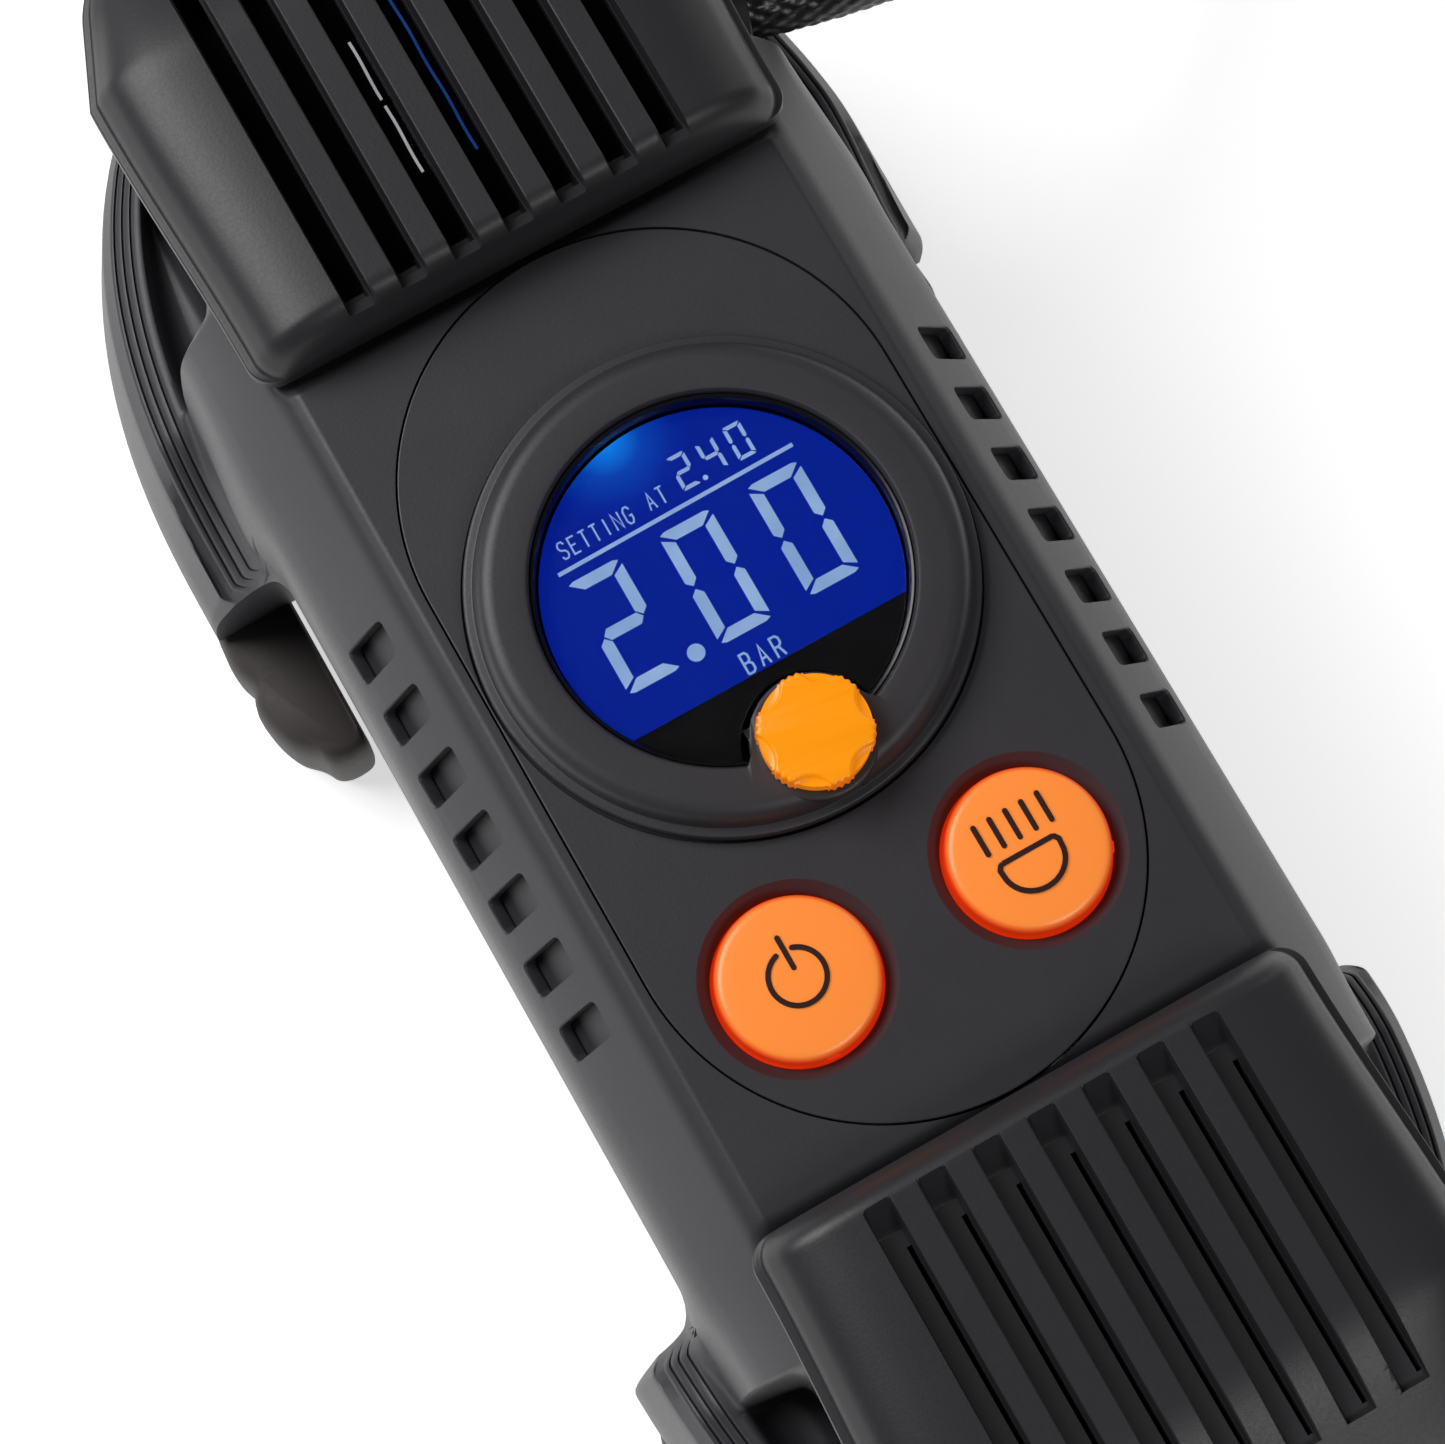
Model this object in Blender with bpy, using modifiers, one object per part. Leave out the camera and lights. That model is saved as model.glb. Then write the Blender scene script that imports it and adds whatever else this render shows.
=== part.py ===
"""Portable 12 V tyre inflator: a ribbed housing with a round display, a geared piston compressor and an air hose.

Frame: +Z up, standing on its feet, +Y towards the end the display reads up to, +X to the display's right.
Lengths below are millimetres, and MM turns them into metres.
"""

import math

import bmesh
import bpy
from mathutils import Matrix, Vector

MM = 0.001
GAP = 0.3                      # clearance between neighbouring pieces

# Driving dimensions of the housing
CONSOLE_Z = 78.0               # flat top that carries the controls
CONSOLE_HALF = 29.8            # half width of the flat top
WAIST_HALF = 40.2              # half width at the waist
WING_HALF = 50.3               # half width over the flared wings
WING_START = 52.0              # where the wings begin to curve in towards the ends
WING_RUN = 67.0                # run of that curve along Y
HALF_LENGTH = 117.0
RIM_Z = 16.5                   # lower edge of the upper shell
BASE_Z = 8.0                   # underside of the base shell
WING_Z = 26.0                  # height where the wing is widest

# Controls
PANEL_R = 28.45
PANEL_ARC_Y = 24.05            # centres of the panel's two end arcs are at plus and minus this
DISPLAY_Y = 10.0
BEZEL_R = 28.0
WINDOW_R = 20.1
KNOB_Y = -10.0
KNOB_R = 6.4
BUTTON_X = 14.1
BUTTON_Y = -31.2
BUTTON_R = 9.0
BUTTON_WELL_R = 10.65

# End covers
COVER_START = 53.1
COVER_END = 110.0
COVER_TOP = 87.0
COVER_BASE = 78.4
SLOT_COUNT = 7
SLOT_PITCH = 6.5
SLOT_WIDTH = 3.2

# Side recesses
RECESS_COUNT = 7
RECESS_PITCH = 8.0

# Compressor
MODULE = 0.85
PINION_TEETH = 10
GEAR_TEETH = 40
GEAR_X, GEAR_Z = 15.0, 46.0
PINION_X, PINION_Z = -1.9, 32.8
CRANK_R = 4.0
ROD_LENGTH = 24.0
PISTON_Y = 18.0
PISTON_R = 10.0
WRIST_X = GEAR_X + CRANK_R - ROD_LENGTH

# Air hose: route of the stretch that is not coiled, then a coil on the ground, then a short tail
HOSE_R = 4.25
HOSE_EXIT = (36.6, 76.9, 54.0)
HOSE_DIRECTION = (0.966, -0.257, 0.0)
HOSE_ROUTE = (
    (36.6, 76.9, 54.0), (44.3, 74.8, 54.0), (52.4, 73.0, 54.0), (60.6, 72.0, 53.4), (69.0, 72.4, 51.6),
    (77.2, 75.0, 48.4), (84.4, 79.8, 43.8), (90.2, 86.6, 38.0), (94.8, 94.8, 31.4), (98.2, 103.8, 24.6),
    (100.6, 113.4, 17.8), (102.0, 123.4, 11.6), (102.7, 133.4, 6.8), (102.9, 142.8, 4.6),
)
COIL_X, COIL_Y = 60.5, 170.5
COIL_R = 42.4
COIL_HEIGHT = 17.4
COIL_LEAVES = 90.0             # angle about the coil's centre where the hose leaves it
TAIL_START = 28.0              # distance along the tangent from there to the tail's first point
TAIL_LENGTH = 20.0
CONNECTOR_Z = 6.9
LEVER_PIVOT = 25.0             # distance of the lever's hinge from the connector's hose end

PARTS = bpy.data.collections.new("tyre_inflator")
CUTTERS = bpy.data.collections.new("cutters")


# ---------------------------------------------------------------- scene and helpers

def clear_scene():
    for obj in list(bpy.data.objects):
        bpy.data.objects.remove(obj, do_unlink=True)
    bpy.context.scene.collection.children.link(PARTS)
    bpy.context.scene.collection.children.link(CUTTERS)


def principled(name, color, roughness, metallic=0.0):
    material = bpy.data.materials.new(name)
    material.use_nodes = True
    shader = material.node_tree.nodes["Principled BSDF"]
    shader.inputs["Base Color"].default_value = (*color, 1.0)
    shader.inputs["Roughness"].default_value = roughness
    shader.inputs["Metallic"].default_value = metallic
    return material


def add_object(name, data, material=None, location=(0, 0, 0), cutter=False):
    obj = bpy.data.objects.new(name, data)
    obj.location = Vector(location) * MM
    (CUTTERS if cutter else PARTS).objects.link(obj)
    if cutter:
        obj.hide_render = True
        obj.display_type = "WIRE"
    elif material:
        data.materials.append(material)
    return obj


def mesh_from(bm, name):
    bmesh.ops.recalc_face_normals(bm, faces=bm.faces)
    mesh = bpy.data.meshes.new(name)
    bm.to_mesh(mesh)
    bm.free()
    mesh.shade_smooth()
    mesh.set_sharp_from_angle(angle=math.radians(35))
    return mesh


def box(name, low, high, material=None, cutter=False, round_edges=0.0, turn=None, location=(0, 0, 0)):
    """A box between two corners, with its upright edges rounded where round_edges is set."""
    bm = bmesh.new()
    bmesh.ops.create_cube(bm, size=1.0)
    low, high = Vector(low) * MM, Vector(high) * MM
    size = high - low
    bmesh.ops.scale(bm, vec=size, verts=bm.verts)
    bmesh.ops.translate(bm, vec=(low + high) / 2, verts=bm.verts)
    if round_edges:
        upright = [e for e in bm.edges if abs((e.verts[0].co - e.verts[1].co).z) > 0.9 * size.z]
        bmesh.ops.bevel(bm, geom=upright, offset=round_edges * MM, segments=3, affect="EDGES", profile=0.5)
    if turn:
        bmesh.ops.transform(bm, matrix=turn, verts=bm.verts)
    return add_object(name, mesh_from(bm, name), material, location, cutter)


def rod(name, radius, start, end, material=None, cutter=False, segments=32, end_radius=None, location=(0, 0, 0)):
    """A cylinder or cone between two points."""
    start, end = Vector(start) * MM, Vector(end) * MM
    bm = bmesh.new()
    bmesh.ops.create_cone(
        bm, cap_ends=True, segments=segments, radius1=radius * MM,
        radius2=(radius if end_radius is None else end_radius) * MM, depth=(end - start).length)
    turn = (end - start).to_track_quat("Z", "Y").to_matrix().to_4x4()
    bmesh.ops.transform(bm, matrix=Matrix.Translation((start + end) / 2) @ turn, verts=bm.verts)
    return add_object(name, mesh_from(bm, name), material, location, cutter)


def turned(name, profile, material=None, cutter=False, steps=40, base=(0, 0, 0), axis=(0, 0, 1), location=(0, 0, 0)):
    """A turned piece. profile is (radius, height) from its top to its bottom along the outer side."""
    bm = bmesh.new()
    rings = [bm.verts.new((r * MM, 0.0, z * MM)) for r, z in profile]
    for first, second in zip(rings, rings[1:]):
        bm.edges.new((first, second))
    mesh = bpy.data.meshes.new(name)
    bm.to_mesh(mesh)
    bm.free()
    profile_object = bpy.data.objects.new(name + "_profile", mesh)
    CUTTERS.objects.link(profile_object)
    screw = profile_object.modifiers.new("turn", "SCREW")
    screw.steps = steps
    screw.render_steps = steps
    screw.use_merge_vertices = True
    screw.merge_threshold = 0.00001
    turned_mesh = evaluated_mesh(profile_object)
    bpy.data.objects.remove(profile_object)
    turn = Vector(axis).to_track_quat("Z", "Y").to_matrix().to_4x4()
    turned_mesh.transform(Matrix.Translation(Vector(base) * MM) @ turn)
    bm = bmesh.new()
    bm.from_mesh(turned_mesh)
    return add_object(name, mesh_from(bm, name), material, location, cutter)


def evaluated_mesh(obj):
    graph = bpy.context.evaluated_depsgraph_get()
    graph.update()
    return bpy.data.meshes.new_from_object(obj.evaluated_get(graph))


def plate(name, loops, low, high, material=None, cutter=False, turn=None, location=(0, 0, 0)):
    """A flat piece: closed outlines in XY, the inner ones holes, extruded from low to high and then turned."""
    curve = bpy.data.curves.new(name + "_outline", "CURVE")
    curve.dimensions = "2D"
    curve.fill_mode = "BOTH"
    curve.extrude = (high - low) / 2 * MM
    for loop in loops:
        spline = curve.splines.new("POLY")
        spline.points.add(len(loop) - 1)
        for point, (x, y) in zip(spline.points, loop):
            point.co = (x * MM, y * MM, 0.0, 1.0)
        spline.use_cyclic_u = True
    outline = bpy.data.objects.new(name + "_outline", curve)
    CUTTERS.objects.link(outline)
    mesh = evaluated_mesh(outline)
    bpy.data.objects.remove(outline)
    bm = bmesh.new()
    bm.from_mesh(mesh)
    bmesh.ops.remove_doubles(bm, verts=bm.verts, dist=0.000001)
    bmesh.ops.translate(bm, vec=(0, 0, (low + high) / 2 * MM), verts=bm.verts)
    if turn:
        bmesh.ops.transform(bm, matrix=turn, verts=bm.verts)
    return add_object(name, mesh_from(bm, name), material, location, cutter)


def loft(name, stations, half_profile, material=None, cutter=False):
    """A closed solid through symmetric sections: half_profile(y) runs from the top centre out and down."""
    bm = bmesh.new()
    rings = []
    for y in stations:
        half = half_profile(y)
        right = [(x, z) for x, z in half[1:]]
        left = [(-x, z) for x, z in reversed(half[1:])]
        rings.append([bm.verts.new((x * MM, y * MM, z * MM)) for x, z in [half[0], *right, *left]])
    count = len(rings[0])
    for first, second in zip(rings, rings[1:]):
        for i in range(count):
            j = (i + 1) % count
            bm.faces.new((first[i], first[j], second[j], second[i]))
    bm.faces.new(rings[0])
    bm.faces.new(rings[-1])
    return add_object(name, mesh_from(bm, name), material, cutter=cutter)


def boolean(obj, other, operation="DIFFERENCE"):
    modifier = obj.modifiers.new(other.name, "BOOLEAN")
    modifier.operation = operation
    modifier.object = other
    return obj


def cut(obj, *others):
    for other in others:
        boolean(obj, other)
    return obj


def join(obj, *others):
    for other in others:
        boolean(obj, other, "UNION")
    return obj


def smooth_step(start, end, value):
    t = min(1.0, max(0.0, (value - start) / (end - start)))
    return t * t * (3 - 2 * t)


def mix(first, second, t):
    return [(a[0] + (b[0] - a[0]) * t, a[1] + (b[1] - a[1]) * t) for a, b in zip(first, second)]


def arc(cx, cy, radius, start, end, steps):
    angles = [math.radians(start + (end - start) * i / steps) for i in range(steps + 1)]
    return [(cx + radius * math.cos(a), cy + radius * math.sin(a)) for a in angles]


def circle(cx, cy, radius, count=48):
    return arc(cx, cy, radius, 0, 360, count)[:-1]


def stadium(radius, arc_y, steps=18):
    return arc(0, arc_y, radius, 0, 180, steps) + arc(0, -arc_y, radius, 180, 360, steps)


def smooth_route(points, spacing):
    """Points at about one spacing along a Catmull-Rom curve through the given ones."""
    points = [Vector(p) for p in points]
    padded = [points[0] * 2 - points[1], *points, points[-1] * 2 - points[-2]]
    fine = []
    for a, b, c, d in zip(padded, padded[1:], padded[2:], padded[3:]):
        for i in range(12):
            t = i / 12
            fine.append(0.5 * ((2 * b) + (c - a) * t + (2 * a - 5 * b + 4 * c - d) * t ** 2
                               + (3 * b - a - 3 * c + d) * t ** 3))
    fine.append(points[-1])
    total = sum((q - p).length for p, q in zip(fine, fine[1:]))
    count = max(2, round(total / spacing))
    result, walked, target = [fine[0]], 0.0, total / count
    for p, q in zip(fine, fine[1:]):
        step = (q - p).length
        while walked + step >= target - 1e-9 and len(result) < count:
            result.append(p.lerp(q, (target - walked) / step))
            target += total / count
        walked += step
    return [*result, fine[-1]] if len(result) == count else result


def tube(name, points, radius, material, resolution=2):
    curve = bpy.data.curves.new(name, "CURVE")
    curve.dimensions = "3D"
    curve.bevel_depth = radius * MM
    curve.bevel_resolution = resolution
    curve.use_fill_caps = True
    spline = curve.splines.new("POLY")
    spline.points.add(len(points) - 1)
    for point, co in zip(spline.points, points):
        point.co = (co[0] * MM, co[1] * MM, co[2] * MM, 1.0)
    return add_object(name, curve, material)


# ---------------------------------------------------------------- housing outlines

def wing_half(y):
    """Half width of the wings at their widest."""
    run = max(0.0, abs(y) - WING_START) / WING_RUN
    return WING_HALF * math.sqrt(max(0.0, 1 - run ** 2.4))


def core_half(y):
    """Half width of the housing's core under the end covers."""
    return min(32.2, wing_half(y) - 9.8)


def core_top(y):
    y = abs(y)
    return CONSOLE_Z - 2.0 * smooth_step(51.5, 54.5, y) - 26.0 * smooth_step(103.0, 119.0, y)


def shell_profile(y):
    """Half section of the upper shell: a waist, then flared wings, then a finger hollow beside the core."""
    wing, core, top = wing_half(y), core_half(y), core_top(y)
    waist = [(0, 78), (CONSOLE_HALF, 78), (31.6, 77), (36.0, 70.8), (39.4, 65.4), (WAIST_HALF, 60),
             (WAIST_HALF, 52), (WAIST_HALF, 46), (WAIST_HALF, 38), (WAIST_HALF, 30), (WAIST_HALF, 22),
             (WAIST_HALF, RIM_Z)]
    flank = [(0, 78), (CONSOLE_HALF, 78), (31.6, 77), (36.0, 70.8), (39.6, 65.2), (41.2, 57), (42.0, 49),
             (42.6, 42), (44.2, 37.5), (wing - 2.6, 34), (wing, WING_Z), (wing, RIM_Z)]
    ridge = wing - 9.0
    hollow = max(0.8, ridge - core)
    fall = top - 1.2 - 44.5
    pocket = [(0, top), (core - 2.0, top), (core, 44.5 + fall), (core, 44.5 + 0.7 * fall),
              (core, 44.5 + 0.33 * fall), (core, 44.5), (core + 0.2 * hollow, 41.5), (core + 0.8 * hollow, 41.5),
              (core + hollow, 46), (wing - 3.2, 43), (wing, WING_Z), (wing, RIM_Z)]
    section = mix(waist, flank, smooth_step(44.0, 47.0, abs(y)))
    section = mix(section, pocket, smooth_step(60.0, 68.0, abs(y)))
    section[0] = (0, top)
    section[1] = (section[1][0], top)
    return section


def cavity_profile(y):
    core, wing = core_half(y), wing_half(y)
    top = core_top(y) - 2.6
    waist = [(0, top), (27.6, top), (34.2, 66.5), (37.6, 61), (37.6, 50), (37.6, 38), (37.6, RIM_Z - 6)]
    ends = [(0, top), (core - 3.4, top), (core - 2.6, top - 1.6), (core - 2.6, 38.5), (wing - 6.5, 36.5),
            (wing - 3.2, 25), (wing - 3.2, RIM_Z - 6)]
    return mix(waist, ends, smooth_step(50.0, 56.0, abs(y)))


def base_half(y):
    return 36.8 + (wing_half(y) - 3.9 - 36.8) * smooth_step(54.0, 58.5, abs(y))


def base_profile(y, inset=0.0, floor=BASE_Z, rise=0.0):
    half = base_half(y) - inset
    top = 50.0 - 27.6 * smooth_step(49.0, 54.5, abs(y)) + rise
    return [(0, top), (half, top), (half, floor + 3), (half - 3, floor)]


def cover_half(y):
    """Half width of an end cover at its lip."""
    corner = 30.2 + 3.2 * math.sqrt(max(0.0, 1 - (max(0.0, COVER_START + 3.2 - y) / 3.2) ** 2))
    side = corner + 1.2 * smooth_step(56.0, 90.0, y)
    return side - 0.42 * max(0.0, y - 91.0) - 0.16 * max(0.0, y - 101.0) ** 1.35


def cover_profile(y):
    lip = cover_half(y)
    front = math.sqrt(max(0.0, 1 - (max(0.0, COVER_START + 3.4 - y) / 3.4) ** 2))
    top = COVER_TOP - 5.6 * (1 - front) - 6.2 * smooth_step(88.0, 113.0, y)
    shoulder = COVER_BASE + 1.8
    rise = top - shoulder
    return [(0, top), (lip - 12.6, top), (lip - 7.4, shoulder + 0.9 * rise), (lip - 3.6, shoulder + 0.66 * rise),
            (lip - 1.3, shoulder + 0.2 * rise), (lip - 1.0, shoulder), (lip, shoulder - 0.2), (lip, COVER_BASE)]


def cover_cavity_profile(y):
    lip = cover_half(y)
    return [(0, 82.0), (lip - 9.0, 82.0), (lip - 6.0, 80.6), (lip - 3.4, COVER_BASE - 2)]


def mirrored_y(values):
    return [-v for v in reversed(values)] + list(values)


# ---------------------------------------------------------------- housing

def make_upper_shell(material):
    stations = mirrored_y([43.5, 44.5, 45.5, 47, 51.5, 54.5, 58, 61, 63, 65, 68, 75, 83, 90, 96, 101, 105, 109,
                           113, HALF_LENGTH])
    shell = loft("upper_shell", stations, shell_profile, material)
    cavity = loft("shell_cavity", mirrored_y([50, 52, 54, 56, 66, 76, 86, 96, 103, 109]), cavity_profile, cutter=True)
    cut(shell, cavity)
    arch = [(45.5, 8), (45.5, 31), (43.5, 37.5), (39.5, 42), (33, 44.2), (24, 45)]
    outline = arch + [(-y, z) for y, z in reversed(arch)]
    side_on = Matrix(((0, 0, 1, 0), (1, 0, 0, 0), (0, 1, 0, 0), (0, 0, 0, 1)))
    cut(shell, plate("arch_cut", [outline], -60, 60, cutter=True, turn=side_on))
    cut(shell, plate("panel_hole", [stadium(PANEL_R + GAP, PANEL_ARC_Y)], 70, 80, cutter=True))
    for side in (1, -1):
        vent = [(-22, 60), (22, 60), (22, 98), (-22, 98)]
        cut(shell, plate(f"vent_hole_{side}", [[(x, side * y) for x, y in vent]], 70, 80, cutter=True))
    slope = math.atan2(70.8 - 65.4, 39.4 - 36.0)
    for side in (1, -1):
        for i in range(RECESS_COUNT):
            y = (i - (RECESS_COUNT - 1) / 2) * RECESS_PITCH
            turn = Matrix.Translation(Vector((side * 36.3, y, 70.4)) * MM) @ Matrix.Rotation(side * slope, 4, "Y")
            cut(shell, box(f"recess_{side}_{i}", (-4.2, -1.9, -1.2), (4.2, 1.9, 4), cutter=True, round_edges=0.9,
                           turn=turn))
    for side in (1, -1):
        start = Vector((26.0, side * 79.7, 54.0))
        reach = Vector((HOSE_DIRECTION[0], side * HOSE_DIRECTION[1], 0)) * 9
        cut(shell, rod(f"gland_hole_{side}", 6.0 + GAP, start, start + reach, cutter=True, segments=24))
    cut(shell, box("lamp_window", (-17.3, -130, 22.7), (17.3, -100, 35.3), cutter=True))
    return shell


def make_base_shell(material):
    stations = mirrored_y([49, 51, 53, 54.5, 56, 57.5, 59, 66, 74, 82, 90, 98, 103, 107.4])
    base = loft("base_shell", stations, base_profile, material)
    inner = [y for y in stations if abs(y) < 104]
    cut(base, loft("base_cavity", inner, lambda y: base_profile(y, 2.4, BASE_Z + 2.6, 4), cutter=True))
    for x in (-24, 24):
        for y in (-88, 88):
            cut(base, rod(f"screw_hole_{x}_{y}", 1.8, (x, y, 5), (x, y, 20), cutter=True, segments=16))
            cut(base, rod(f"head_hole_{x}_{y}", 3.5, (x, y, 5), (x, y, BASE_Z + 1.6), cutter=True, segments=20))
    return base


def make_case_screws(material):
    for i, (x, y) in enumerate(((-24, -88), (24, -88), (24, 88), (-24, 88))):
        profile = [(0, 24), (0.9, 24), (1.5, 22.6), (1.5, BASE_Z + 1.3), (3.1, BASE_Z + 1.3), (3.2, BASE_Z + 0.3),
                   (1.2, BASE_Z + 0.3), (1.2, BASE_Z + 0.8), (0, BASE_Z + 0.8)]
        turned(f"case_screw_{i + 1}", profile, material, steps=10, base=(x, y, 0))


def make_cover(name, side, material):
    stations = [53.1, 53.5, 54.2, 55.2, 56.6, 60, 68, 76, 84, 88, 91, 94, 97, 100, 103, 105.5, 107.8, COVER_END]
    stations = stations if side > 0 else [-y for y in stations]
    cover = loft(name, stations, lambda y: cover_profile(abs(y)), material)
    hollow = [58, 70, 84, 91, 97, 102] if side > 0 else [-58, -70, -84, -91, -97, -102]
    cut(cover, loft(name + "_cavity", hollow, lambda y: cover_cavity_profile(abs(y)), cutter=True))
    for i in range(SLOT_COUNT):
        x = (i - (SLOT_COUNT - 1) / 2) * SLOT_PITCH
        ends = sorted((side * 53.9, side * 99.0))
        slits = sorted((side * 59.0, side * 98.0))
        half = SLOT_WIDTH / 2
        cut(cover, box(f"{name}_slot_{i}", (x - half, ends[0], 83.4), (x + half, ends[1], 90), cutter=True))
        cut(cover, box(f"{name}_slit_{i}", (x + half - 1.1, slits[0], 80), (x + half - 0.1, slits[1], 84),
                       cutter=True))
    return cover


def foot_outline():
    """Lobed outline of one foot, in the corner where X and Y are positive."""
    outer = arc(44.6, 32.6, 5.6, -90, 18, 6) + arc(46.2, 38.4, 4.1, -35, 40, 5)
    outer += arc(46.0, 48.4, 3.9, -40, 70, 6) + [(44.0, 56.6), (32.5, 56.6), (32.5, 27.0)]
    return outer


def make_feet(material):
    for name, side_x, side_y, shift in (("front_right_foot", 1, 1, 0), ("front_left_foot", -1, 1, 0),
                                        ("rear_right_foot", 1, -1, -22), ("rear_left_foot", -1, -1, -22)):
        loop = [(side_x * x, side_y * y + shift) for x, y in foot_outline()]
        foot = plate(name, [loop], 0, RIM_Z - GAP, material)
        inner = 38.4 if shift == 0 else 47.0
        ys = sorted((side_y * 20 + shift, side_y * 60 + shift))
        xs = sorted((side_x * 30, side_x * inner))
        cut(foot, box(name + "_step", (xs[0], ys[0], BASE_Z - GAP), (xs[1], ys[1], 20), cutter=True))
        if shift == 0:
            wide = sorted((side_x * 30, side_x * 47.0))
            cut(foot, box(name + "_relief", (wide[0], 53.5, BASE_Z - GAP), (wide[1], 60, 20), cutter=True))


# ---------------------------------------------------------------- controls

def make_controls(plastic, orange, glass, screen, board, steel, black):
    panel = plate("control_panel", [stadium(PANEL_R, PANEL_ARC_Y)], 75, CONSOLE_Z, plastic)
    cut(panel, rod("display_hole", 26.3, (0, DISPLAY_Y, 70), (0, DISPLAY_Y, 90), cutter=True, segments=40))
    well = [(0, 82), (BUTTON_WELL_R + 0.5, 82), (BUTTON_WELL_R + 0.2, 78.1), (9.35, 76.7), (9.35, 72), (0, 72)]
    for x in (-BUTTON_X, BUTTON_X):
        cut(panel, turned(f"button_well_{x}", well, cutter=True, steps=28, base=(x, BUTTON_Y, 0)))

    ring = [(WINDOW_R, 81.6), (WINDOW_R + 1.2, 82.4), (BEZEL_R - 2.8, 82.4), (BEZEL_R - 1.4, 81.9),
            (BEZEL_R - 0.7, 80.7), (BEZEL_R - 0.6, 79.3), (BEZEL_R, 79.1), (BEZEL_R, 78.3), (26.0, 78.3),
            (26.0, 76.2), (WINDOW_R, 76.2), (WINDOW_R, 81.6)]
    bezel = turned("display_bezel", ring, plastic, steps=40, base=(0, DISPLAY_Y, 0))
    cut(bezel, rod("knob_pocket", 7.9, (0, KNOB_Y, 70), (0, KNOB_Y, 90), cutter=True, segments=28))

    window = rod("display_window", WINDOW_R - GAP, (0, DISPLAY_Y, 78.2), (0, DISPLAY_Y, 79.4), glass, segments=48)
    lcd = rod("lcd_module", WINDOW_R - GAP, (0, DISPLAY_Y, 75.2), (0, DISPLAY_Y, 77.9), screen, segments=48)
    for piece in (window, lcd):
        cut(piece, rod(piece.name + "_notch", 7.9, (0, KNOB_Y, 70), (0, KNOB_Y, 90), cutter=True, segments=28))

    grip = []
    for i in range(48):
        angle = math.radians(i * 7.5)
        scallop = 0.35 * max(0.0, math.cos(6 * angle)) ** 2
        grip.append(((KNOB_R - scallop) * math.cos(angle), (KNOB_R - scallop) * math.sin(angle)))
    knob = plate("pressure_knob", [grip], 78.6, 86.0, orange, location=(0, KNOB_Y, 0))
    join(knob, rod("knob_shaft", 2.7, (0, KNOB_Y, 71.5), (0, KNOB_Y, 80), cutter=True, segments=20))

    encoder = box("knob_encoder", (-5.6, KNOB_Y - 5.6, 69.3), (5.6, KNOB_Y + 5.6, 74.6), steel)
    cut(encoder, rod("encoder_bore", 3.0, (0, KNOB_Y, 71.0), (0, KNOB_Y, 80), cutter=True, segments=20))

    cap = [(0, 79.4), (5.0, 79.25), (8.0, 78.9), (BUTTON_R, 78.2), (BUTTON_R, 74.6), (10.2, 74.6), (10.2, 73.4),
           (1.6, 73.4), (1.6, 72.9), (0, 72.9)]
    for name, x in (("power_button", -BUTTON_X), ("light_button", BUTTON_X)):
        turned(name, cap, orange, steps=28, location=(x, BUTTON_Y, 0))
        box(name.split("_")[0] + "_switch", (x - 3, BUTTON_Y - 3, 69.3), (x + 3, BUTTON_Y + 3, 71.3), black)

    outline = [(-24, -46), (24, -46), (24, 40), (-24, 40)]
    plate("control_board", [outline], 67.4, 69.0, board)


# ---------------------------------------------------------------- compressor

def tooth_outline(teeth, cx=0.0, cz=0.0, phase=0.0):
    """Outline of a spur gear with straight-sided teeth and running backlash."""
    pitch_r = MODULE * teeth / 2
    loop = []
    for i in range(teeth):
        centre = phase + 2 * math.pi * i / teeth
        for radius, half in ((pitch_r - 1.15 * MODULE, 0.30), (pitch_r + 0.75 * MODULE, 0.12)):
            loop.append((radius, centre - half * 2 * math.pi / teeth))
        for radius, half in ((pitch_r + 0.75 * MODULE, 0.12), (pitch_r - 1.15 * MODULE, 0.30)):
            loop.append((radius, centre + half * 2 * math.pi / teeth))
    return [(cx + r * math.cos(a), cz + r * math.sin(a)) for r, a in loop]


FACE_Y = Matrix(((1, 0, 0, 0), (0, 0, -1, 0), (0, 1, 0, 0), (0, 0, 0, 1)))   # outline in XZ, extruded along -Y


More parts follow.
